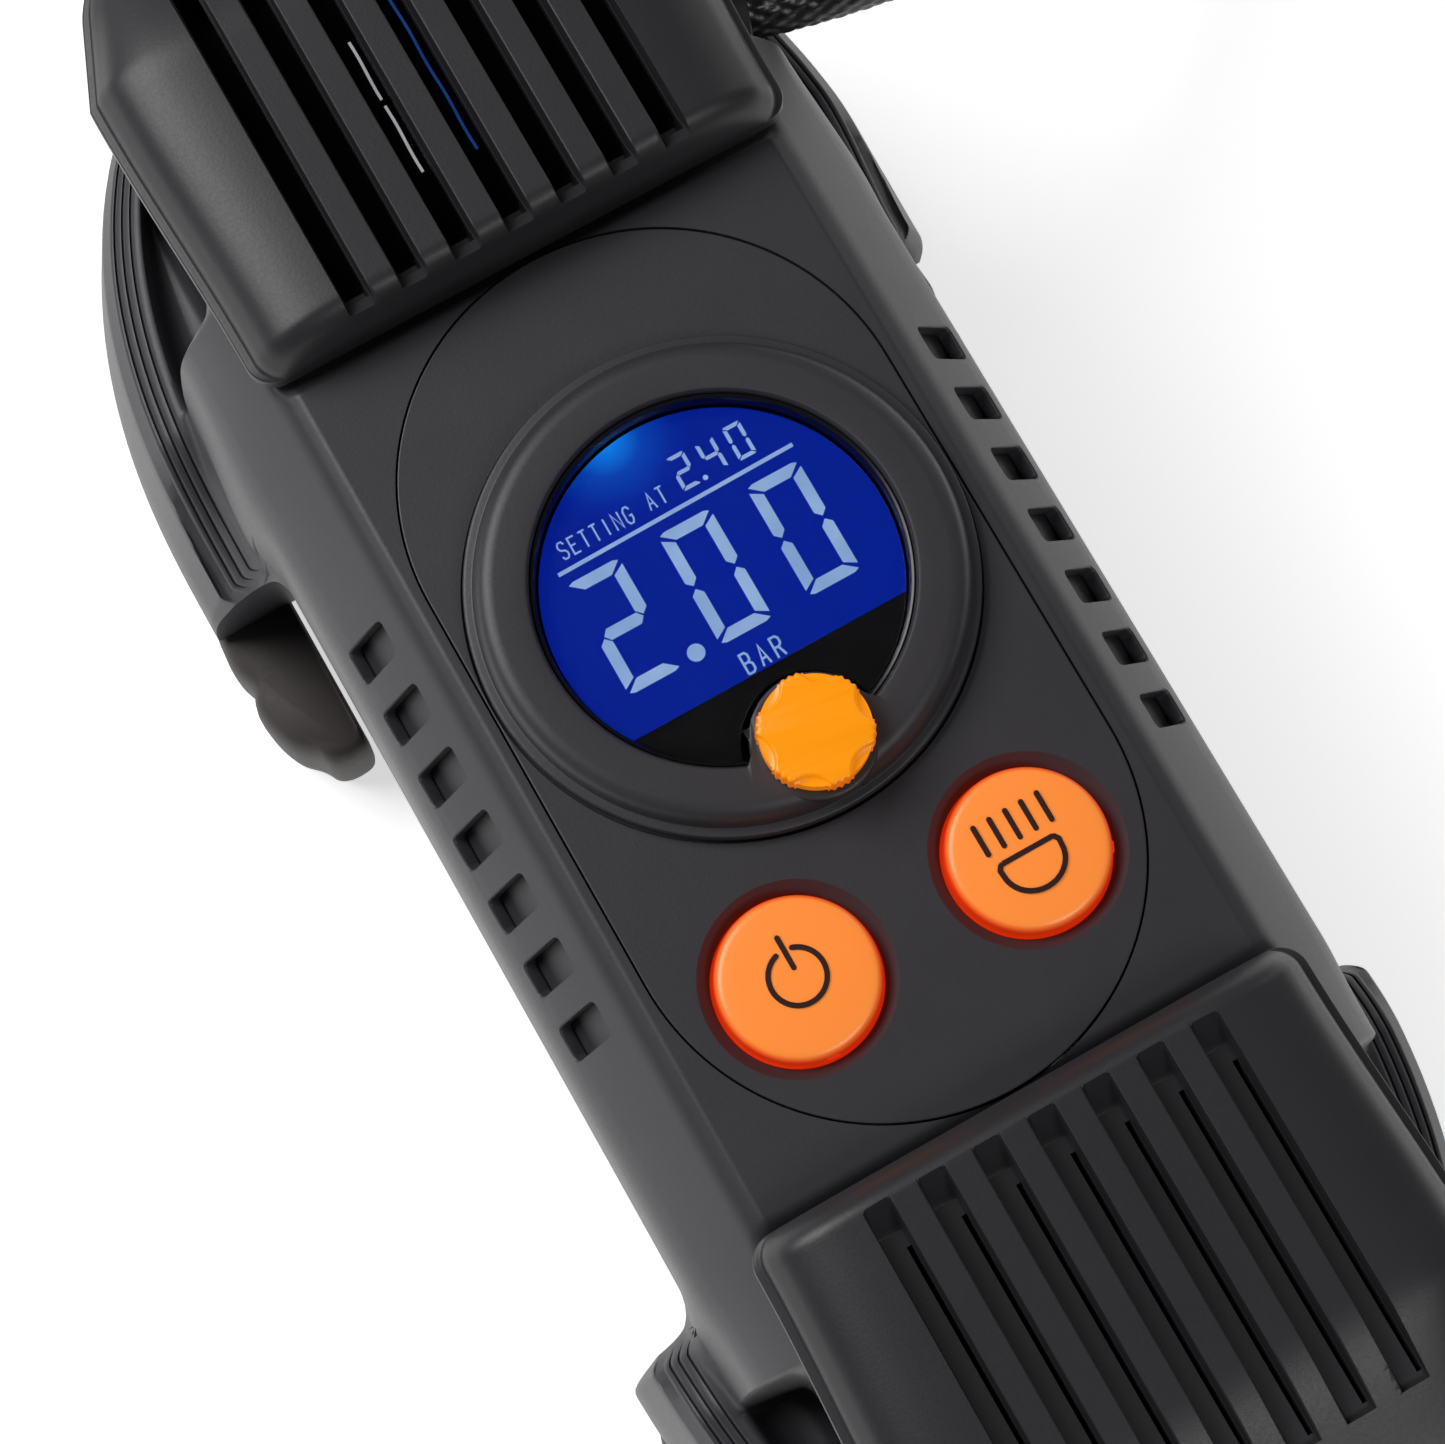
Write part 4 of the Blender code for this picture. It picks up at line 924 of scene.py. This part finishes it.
def make_display():
    """Black module with its blue field, the lit figures, a black liner and a clear window."""
    notch = prism(arc(0, KNOB_Y, 7.9, 0, 360, 64)[:-1], 70, 90)
    rim = [(0, 75.2), (WINDOW_R - 0.3, 75.2), (WINDOW_R - 0.3, LCD_TOP - 0.1), (0, LCD_TOP - 0.1)]
    module = turned("lcd_backing", rim, GASKET, 128, (0, DISPLAY_Y, 0))
    combine(module, merged("module_notch", [notch]))
    place(module, "housing", "lcd", "lcd_module")

    field = clean(piece("lcd_field", *flat_shape(half_disc_outline(WINDOW_R - 0.35, CHORD_Y), LCD_TOP - 0.08,
                                                 LCD_TOP), LCD_BLUE))
    place(field, "housing", "lcd")

    low, high = LCD_TOP + 0.01, LCD_TOP + 0.05
    lit = []
    for figure, x in (("2", -14.75), ("0", -3.5), ("0", 7.45)):
        lit += [flat_shape(bar, low, high) for bar in segment_outlines(figure, x, 4.1, 6.45, 14.0, 1.38, 0.2)]
    lit.append(flat_shape(arc(-6.2, 4.75, 1.0, 0, 360, 32)[:-1], low, high))
    for figure, x in (("2", 1.45), ("4", 4.95), ("0", 8.4)):
        lit += [flat_shape(bar, low, high) for bar in segment_outlines(figure, x, 21.0, 2.15, 4.15, 0.44, 0.07)]
    lit.append(flat_shape(arc(4.25, 21.25, 0.3, 0, 360, 20)[:-1], low, high))
    lit.append(stroke_band([(-14.95, 19.5), (14.3, 19.85)], 0.46, low, high))
    lit += lettering("SETTING", -13.55, 20.7, 1.95, 1.34, 0.2, low, high)
    lit += lettering("AT", -2.65, 20.9, 1.95, 1.4, 0.2, low, high)
    lit += lettering("BAR", -2.4, -0.15, 2.35, 1.85, 0.26, low, high)
    figures = merged("lcd_figures", lit, LCD_LIT)
    place(figures, "housing", "lcd")

    liner = [(WINDOW_R + 0.02, 78.4), (WINDOW_R + 0.6, 78.4), (WINDOW_R + 0.6, 81.5), (WINDOW_R + 0.45, 81.68),
             (WINDOW_R + 0.2, 81.6), (WINDOW_R + 0.02, 81.3)]
    gasket = turned("display_liner", liner, GASKET, 144, (0, DISPLAY_Y, 0))
    opening = arc(0, KNOB_Y, 7.2, 0, 360, 64)[:-1]
    combine(gasket, merged("liner_notch", [prism(opening, 70, 90)]))
    place(gasket, "housing", "dark_plastic")

    pane = [(0, 79.05), (WINDOW_R - 0.3, 79.05), (WINDOW_R - 0.3, 79.25), (WINDOW_R - 0.45, 79.4), (0, 79.4)]
    window = turned("display_pane", pane, WINDOW, 128, (0, DISPLAY_Y, 0))
    combine(window, merged("pane_notch", [prism(arc(0, KNOB_Y, 7.9, 0, 360, 64)[:-1], 70, 90)]))
    place(window, "housing", "window_glass", "display_window")


# ---------------------------------------------------------------- knob and buttons

SCALLOP_ANGLE = -123.0
SCALLOPS = 6


def make_knob():
    """A dial with six scallops in its top face and groups of fine teeth between them."""
    def outline(grow, teeth):
        ring = []
        for i in range(720):
            angle = math.radians(i / 2)
            phase = math.radians(SCALLOP_ANGLE + 180 / SCALLOPS)
            turn = (angle - phase) * SCALLOPS
            grip = smooth_step(0.0, 0.12, math.cos(turn) - 0.05)
            tooth = 0.5 + 0.5 * math.cos((angle - phase) * 48)
            radius = KNOB_R - 0.27 + grow + grip * teeth * (0.08 + 0.22 * tooth)
            ring.append((radius * math.cos(angle), KNOB_Y + radius * math.sin(angle)))
        return ring

    levels = ((82.75, -0.35, 0.2), (82.9, -0.05, 1.0), (83.4, 0.0, 1.0), (85.5, -0.02, 1.0), (85.8, -0.08, 0.9),
              (85.93, -0.2, 0.7), (86.0, -0.42, 0.3))
    knob = clean(piece("dial_knob", *bridged([raised(outline(grow, teeth), z) for z, grow, teeth in levels]),
                       KNOB_ORANGE))
    cutters = []
    for i in range(SCALLOPS):
        angle = math.radians(SCALLOP_ANGLE + 360 / SCALLOPS * i)
        x, y = 8.15 * math.cos(angle), KNOB_Y + 8.15 * math.sin(angle)
        bite = [(0, 85.1), (2.55, 85.1), (2.95, 85.28), (3.1, 85.6), (3.16, 85.9), (3.35, 86.02), (3.35, 88), (0, 88)]
        cutters.append(turned_parts(bite, 72, (x, y, 0)))
    combine(knob, merged("scallops", cutters))
    stem = [(0, 72.0), (2.6, 72.0), (2.6, 82.2), (4.6, 82.45), (4.6, 83.0), (0, 83.0)]
    place(turned("dial_stem", stem, DARK, 48, (0, KNOB_Y, 0)), "pressure_knob", "orange_plastic")
    return place(knob, "pressure_knob", "orange_plastic", "pressure_knob")


INK_WIDTH = 0.6


def make_button(name, node, x, material, tab_angle):
    profile = [(0, 72.9), (1.6, 72.9), (1.6, 73.4), (10.1, 73.4), (10.1, 74.6), (9.0, 74.75), (9.0, 77.85),
               (8.93, 78.3), (8.72, 78.68), (8.35, 78.93), (7.9, 79.02), (6.5, 79.12), (4.5, 79.24), (2.2, 79.34),
               (0, 79.38)]
    button = turned(name, profile, material, 144, (x, BUTTON_Y, 0))
    centre = Vector((x, BUTTON_Y, 0))
    along_rim = Matrix.Rotation(math.radians(tab_angle), 3, "Z")
    tab = eased([(8.9, -0.75), (9.22, -0.6), (9.22, 0.6), (8.9, 0.75)], [0, 0.15, 0.15, 0], 3)
    rings = [[centre + along_rim @ Vector((px, py, z)) for px, py in tab] for z in (76.2, 77.4, 77.55)]
    gate = clean(piece(name + "_gate", *bridged(rings), material))
    place(gate, node, "orange_plastic")
    return place(button, node, "orange_plastic", node)


def printed(name, strokes, node):
    """Ink lines with round ends, standing a hair above the button top."""
    ink = None
    for points in strokes:
        if points[0] != points[-1]:
            for x, y in (points[0], points[-1]):
                dot = merged(name, [prism(arc(x, y, INK_WIDTH / 2, 0, 360, 24)[:-1], 79.0, 79.45)], PRINT)
                place(dot, node, "orange_plastic")
        line = merged(name, [stroke_band(points, INK_WIDTH, 79.0, 79.46)], PRINT)
        ink = place(line, node, "orange_plastic")
    return ink


def make_buttons():
    make_button("power_cap", "power_button", -BUTTON_X, POWER_ORANGE, -95)
    make_button("light_cap", "light_button", BUTTON_X, LIGHT_ORANGE, -27)
    cx, cy = -BUTTON_X, BUTTON_Y + 0.1
    loop = arc(cx, cy, 3.12, 108, 432, 60)
    printed("power_symbol", [loop, [(cx + 0.1, -26.5), (cx + 0.1, -30.1)]], "power_button")
    rays = [[(9.95 + 1.95 * i, -26.5), (9.95 + 1.95 * i, -29.75)] for i in range(5)]
    bowl = [(3.0 * s, 0) for s in (-1, 0, 1)] + [(3.3, -0.12), (3.6, -0.55), (3.55, -1.2)]
    bowl += [(3.55 * math.cos(a), -1.2 + 3.25 * math.sin(a)) for a in
             [math.radians(-v) for v in range(10, 171, 10)]]
    bowl += [(-3.55, -1.2), (-3.6, -0.55), (-3.3, -0.12), (-3.0, 0)]
    lamp = [(13.75 + dx, -31.35 + dy) for dx, dy in bowl]
    printed("lamp_symbol", [*rays, lamp], "light_button")


# The buttons and the knob carry a painted glow.
POWER_ORANGE = painted_glow_plastic("power_orange", (1.0, 0.275, 0.045), (0.95, 0.045, 0.003), 8.1, 9.05,
                               (-BUTTON_X, BUTTON_Y, 0), 0.36)
LIGHT_ORANGE = painted_glow_plastic("light_orange", (1.0, 0.275, 0.045), (0.95, 0.045, 0.003), 8.1, 9.05,
                               (BUTTON_X, BUTTON_Y, 0), 0.36)
KNOB_ORANGE = painted_glow_plastic("knob_orange", (1.0, 0.32, 0.002), (1.0, 0.085, 0.002), 5.7, 6.9, (0, KNOB_Y, 0), 0.36)


# ---------------------------------------------------------------- air hose

def hose_controls():
    """Points along the hose's centreline: the free stretch, one and a quarter turns, then the tail."""
    points = [Vector(p) for p in HOSE_ROUTE]
    points += [Vector((COIL_X + COIL_R, y, z)) for y, z in ((152.0, 4.38), (161.5, 4.35))]
    for i in range(0, 46):
        degrees = i * 10
        angle = math.radians(degrees)
        lift = 4.35 + 8.7 * smooth_step(225.0, 322.0, degrees)
        points.append(Vector((COIL_X + COIL_R * math.cos(angle), COIL_Y + COIL_R * math.sin(angle), lift)))
    tail = ((52.0, 13.0), (46.0, 12.7), (40.0, 12.0), (36.0, 11.3), (32.5, 10.5), (27.5, 9.5), (22.5, 8.1),
            (17.5, 7.2), (CONNECTOR_X + 0.3, CONNECTOR_Z))
    return points + [Vector((x, COIL_Y + COIL_R, z)) for x, z in tail]


def smooth_route(points, spacing):
    padded = [points[0] * 2 - points[1], *points, points[-1] * 2 - points[-2]]
    fine = []
    for a, b, c, d in zip(padded, padded[1:], padded[2:], padded[3:]):
        for i in range(24):
            t = i / 24
            fine.append(0.5 * ((2 * b) + (c - a) * t + (2 * a - 5 * b + 4 * c - d) * t ** 2
                               + (3 * b - a - 3 * c + d) * t ** 3))
    fine.append(points[-1])
    lengths = [0.0]
    for p, q in zip(fine, fine[1:]):
        lengths.append(lengths[-1] + (q - p).length)
    count = round(lengths[-1] / spacing)
    result, k = [], 0
    for i in range(count + 1):
        wanted = lengths[-1] * i / count
        while k < len(fine) - 2 and lengths[k + 1] < wanted:
            k += 1
        t = (wanted - lengths[k]) / max(1e-9, lengths[k + 1] - lengths[k])
        result.append(fine[k].lerp(fine[k + 1], min(1.0, t)))
    return result, lengths[-1]


def frames_along(path):
    """Directions across the path that turn with it and never twist."""
    tangents = []
    for i in range(len(path)):
        tangents.append((path[min(i + 1, len(path) - 1)] - path[max(i - 1, 0)]).normalized())
    side = tangents[0].orthogonal().normalized()
    frames = []
    for tangent in tangents:
        side = (side - tangent * side.dot(tangent)).normalized()
        frames.append((side, tangent.cross(side)))
    return frames


CARRIERS = 14
BRAID_PITCH = 3.2


def braid_height(around, s):
    """Height of the braid's surface in millimetres, from two families of crossing strands."""
    a = around * CARRIERS + s / BRAID_PITCH
    b = around * CARRIERS - s / BRAID_PITCH
    over = (math.floor(a) + math.floor(b)) % 2 == 0
    across, length = (a, b) if over else (b, a)
    crown = math.sqrt(max(0.0, 1 - 0.92 * (2 * (across % 1) - 1) ** 2))
    swell = math.sin(math.pi * (length % 1))
    return 0.42 * crown * (0.45 + 0.55 * swell)


def make_hose():
    path, length = smooth_route(hose_controls(), 0.42)
    around = 72
    rings, walked = [], 0.0
    for i, (centre, (side, up)) in enumerate(zip(path, frames_along(path))):
        if i:
            walked += (centre - path[i - 1]).length
        ring = []
        for k in range(around):
            angle = 2 * math.pi * k / around
            radius = HOSE_R - 0.3 + braid_height(k / around, walked)
            ring.append(centre + side * (radius * math.cos(angle)) + up * (radius * math.sin(angle)))
        rings.append(ring)
    hose = piece("braided_hose", *bridged(rings), BRAID, 60)
    place(hose, "housing", "hose_braid", "air_hose", "air_hose_coil", "air_hose_tail")
    return hose, path, length


def braid_material():
    """Black polyester yarn: fine filaments, slow colour drift and a soft sheen."""
    material, tree, principled, add = shader("hose_braid")
    cloud = grain(tree, add, 900.0, 4.0)
    color = ramp(tree, add, cloud, ((0.3, (0.004, 0.004, 0.005)), (0.7, (0.010, 0.0095, 0.012))))
    link(tree, color, "Color", principled, "Base Color")
    place_ = add("ShaderNodeTexCoord")
    yarn = add("ShaderNodeTexVoronoi", Scale=5200.0)
    link(tree, place_, "Object", yarn, "Vector")
    bump = add("ShaderNodeBump", Strength=0.12, Distance=0.00005)
    link(tree, yarn, "Distance", bump, "Height")
    link(tree, bump, "Normal", principled, "Normal")
    principled.inputs["Roughness"].default_value = 0.32
    principled.inputs["Specular IOR Level"].default_value = 0.7
    return material


BRAID = braid_material()


def make_boots():
    """Tapered strain reliefs: one at the housing and one at the connector."""
    profile = [(HOSE_R + 0.12, -4.0), (6.1, -4.0), (6.1, -0.6), (5.9, 0.0), (5.5, 0.5), (5.1, 1.3), (4.8, 2.4),
               (4.6, 3.4), (HOSE_R + 0.12, 3.6)]
    boot = turned("hose_boot", profile, DARK, 64, HOSE_EXIT, HOSE_DIRECTION)
    place(boot, "housing", "dark_plastic")
    end = (CONNECTOR_X + 0.1, CONNECTOR_Y, CONNECTOR_Z)
    ribs = [(HOSE_R + 0.12, 0.0), (5.4, 0.0)]
    for i in range(5):
        radius = 5.4 - 0.17 * i
        ribs += [(radius, 0.3 + 2.2 * i), (radius, 1.5 + 2.2 * i), (radius - 0.45, 1.7 + 2.2 * i),
                 (radius - 0.45, 2.3 + 2.2 * i)]
    ribs += [(HOSE_R + 0.12, 11.4)]
    sleeve = turned("connector_boot", ribs, DARK, 64, end, (1, 0, 0))
    place(sleeve, "housing", "dark_plastic")
    return boot, sleeve


def make_connector():
    """Clip-on valve connector: ribbed grip, brass seat ring and a slot for its lever."""
    profile = [(0, -38), (5.2, -38), (5.9, -37.6), (6.2, -36.9), (6.2, -27.4), (5.9, -26.4), (5.45, -25.6),
               (5.45, -12.0)]
    for i in range(4):
        start = -11.0 + 2.4 * i
        profile += [(5.45, start), (5.15, start + 0.3), (5.15, start + 0.9), (5.45, start + 1.2)]
    profile += [(5.35, -0.7), (5.0, -0.1), (0, -0.1)]
    body = turned("connector_grip", profile, DARK, 96, (CONNECTOR_X, CONNECTOR_Y, CONNECTOR_Z), (1, 0, 0))
    bore = turned_parts([(0, -45), (4.1, -45), (4.1, -27), (0, -27)], 64,
                        (CONNECTOR_X, CONNECTOR_Y, CONNECTOR_Z), (1, 0, 0))
    combine(body, merged("bore", [bore]))
    x_low, x_high = CONNECTOR_X - 29.6, CONNECTOR_X - 18.0
    slot = prism([(x_low, CONNECTOR_Y - 2.3), (x_high, CONNECTOR_Y - 2.3), (x_high, CONNECTOR_Y + 2.3),
                  (x_low, CONNECTOR_Y + 2.3)], CONNECTOR_Z + 1.6, CONNECTOR_Z + 12)
    combine(body, merged("lever_slot", [slot]))
    place(body, "housing", "dark_plastic", "connector_body")
    seat = [(3.1, -37.7), (4.05, -37.7), (4.05, -28.2), (3.1, -28.2)]
    ring = turned("valve_seat", seat, BRASS, 64, (CONNECTOR_X, CONNECTOR_Y, CONNECTOR_Z), (1, 0, 0))
    place(ring, "housing", "brass")
    return body, ring


# ---------------------------------------------------------------- carried-over CAD nodes

NODE_MATERIALS = {
    "base_shell": DARK, "case_screw_1": STEEL, "case_screw_2": STEEL, "case_screw_3": STEEL, "case_screw_4": STEEL,
    "connecting_rod": ALLOY, "connector_lever": NYLON, "control_board": BOARD, "cooling_fan": DARK,
    "cylinder": ALLOY, "cylinder_head": ALLOY, "drive_gear": NYLON, "gearbox_frame": ALLOY, "hose_gland": DARK,
    "knob_encoder": STEEL, "led_board": BOARD, "led_lens": LENS_CLEAR, "led_reflector": BRIGHT,
    "light_switch": DARK, "motor_can": STEEL, "motor_shaft": STEEL, "outlet_tube": BRASS, "piston": ALLOY,
    "piston_ring": DARK, "power_cord_gland": DARK, "power_switch": DARK, "pressure_sensor": DARK,
}


def finish_nodes():
    for name, material in NODE_MATERIALS.items():
        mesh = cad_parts[name].data
        mesh.materials.clear()
        mesh.materials.append(material)


# ---------------------------------------------------------------- studio

def make_studio():
    scene = bpy.context.scene
    scene.view_settings.view_transform = "Standard"
    camera_data = bpy.data.cameras.new("camera")
    camera_data.lens = LENS
    camera_data.sensor_width = 36.0
    camera_data.clip_start = 0.01
    camera = bpy.data.objects.new("camera", camera_data)
    back = Vector(CAMERA_BACK).normalized()
    right = Vector(CAMERA_RIGHT).normalized()
    up = back.cross(right).normalized()
    right = up.cross(back)
    axes = Matrix((right, up, back)).transposed()
    camera.matrix_world = Matrix.Translation(Vector(CAMERA_AT) * MM) @ axes.to_4x4()
    scene.collection.objects.link(camera)
    scene.camera = camera

    floor_mesh = bpy.data.meshes.new("floor")
    reach, low = 3.0, -0.0004
    floor_mesh.from_pydata([(-reach, -reach, low), (reach, -reach, low), (reach, reach, low), (-reach, reach, low)],
                           [], [(0, 1, 2, 3)])
    material, tree, principled, add = shader("floor_paper")
    cloud = grain(tree, add, 8.0, 2.0)
    color = ramp(tree, add, cloud, ((0.2, (0.90, 0.90, 0.90)), (0.8, (0.94, 0.94, 0.94))))
    link(tree, color, "Color", principled, "Base Color")
    link(tree, color, "Color", principled, "Emission Color")
    principled.inputs["Emission Strength"].default_value = FLOOR_GLOW
    principled.inputs["Roughness"].default_value = 0.9
    floor_mesh.materials.append(material)
    floor = bpy.data.objects.new("floor", floor_mesh)
    scene.collection.objects.link(floor)

    world = bpy.data.worlds.new("studio")
    world.use_nodes = True
    world.node_tree.nodes["Background"].inputs["Color"].default_value = (1.0, 1.0, 1.0, 1.0)
    world.node_tree.nodes["Background"].inputs["Strength"].default_value = SKY
    scene.world = world

    def softbox(name, at, target, size, power, color=(1.0, 1.0, 1.0)):
        data = bpy.data.lights.new(name, "AREA")
        data.shape = "RECTANGLE"
        data.size, data.size_y = size
        data.energy = power
        data.color = color
        lamp = bpy.data.objects.new(name, data)
        lamp.location = at
        lamp.rotation_euler = (Vector(target) - Vector(at)).to_track_quat("-Z", "Y").to_euler()
        scene.collection.objects.link(lamp)

    softbox("key", (-0.40, 0.46, 0.70), (0, 0, 0.05), (0.6, 0.5), 5.4)
    softbox("side", (0.7, 0.3, 0.35), (0, 0, 0.05), (0.25, 0.5), 0.4, (1.0, 0.95, 0.93))
    softbox("rear", (0.12, -0.42, 0.55), (0.01, -0.05, 0.07), (0.25, 0.2), 0.75)


FLOOR_GLOW = 0.68
SKY = 0.05


# ---------------------------------------------------------------- assembly

make_studio()
hose, hose_path, hose_length = make_hose()
boots = make_boots()
connector_pieces = make_connector()
make_upper_shell()
make_panel()
make_bezel()
make_display()
make_knob()
make_buttons()
make_cover("front_cover", "front_vent_cover", 1)
make_cover("rear_cover", "rear_vent_cover", -1)
make_louvre_shade_sheets()
make_feet()
finish_nodes()
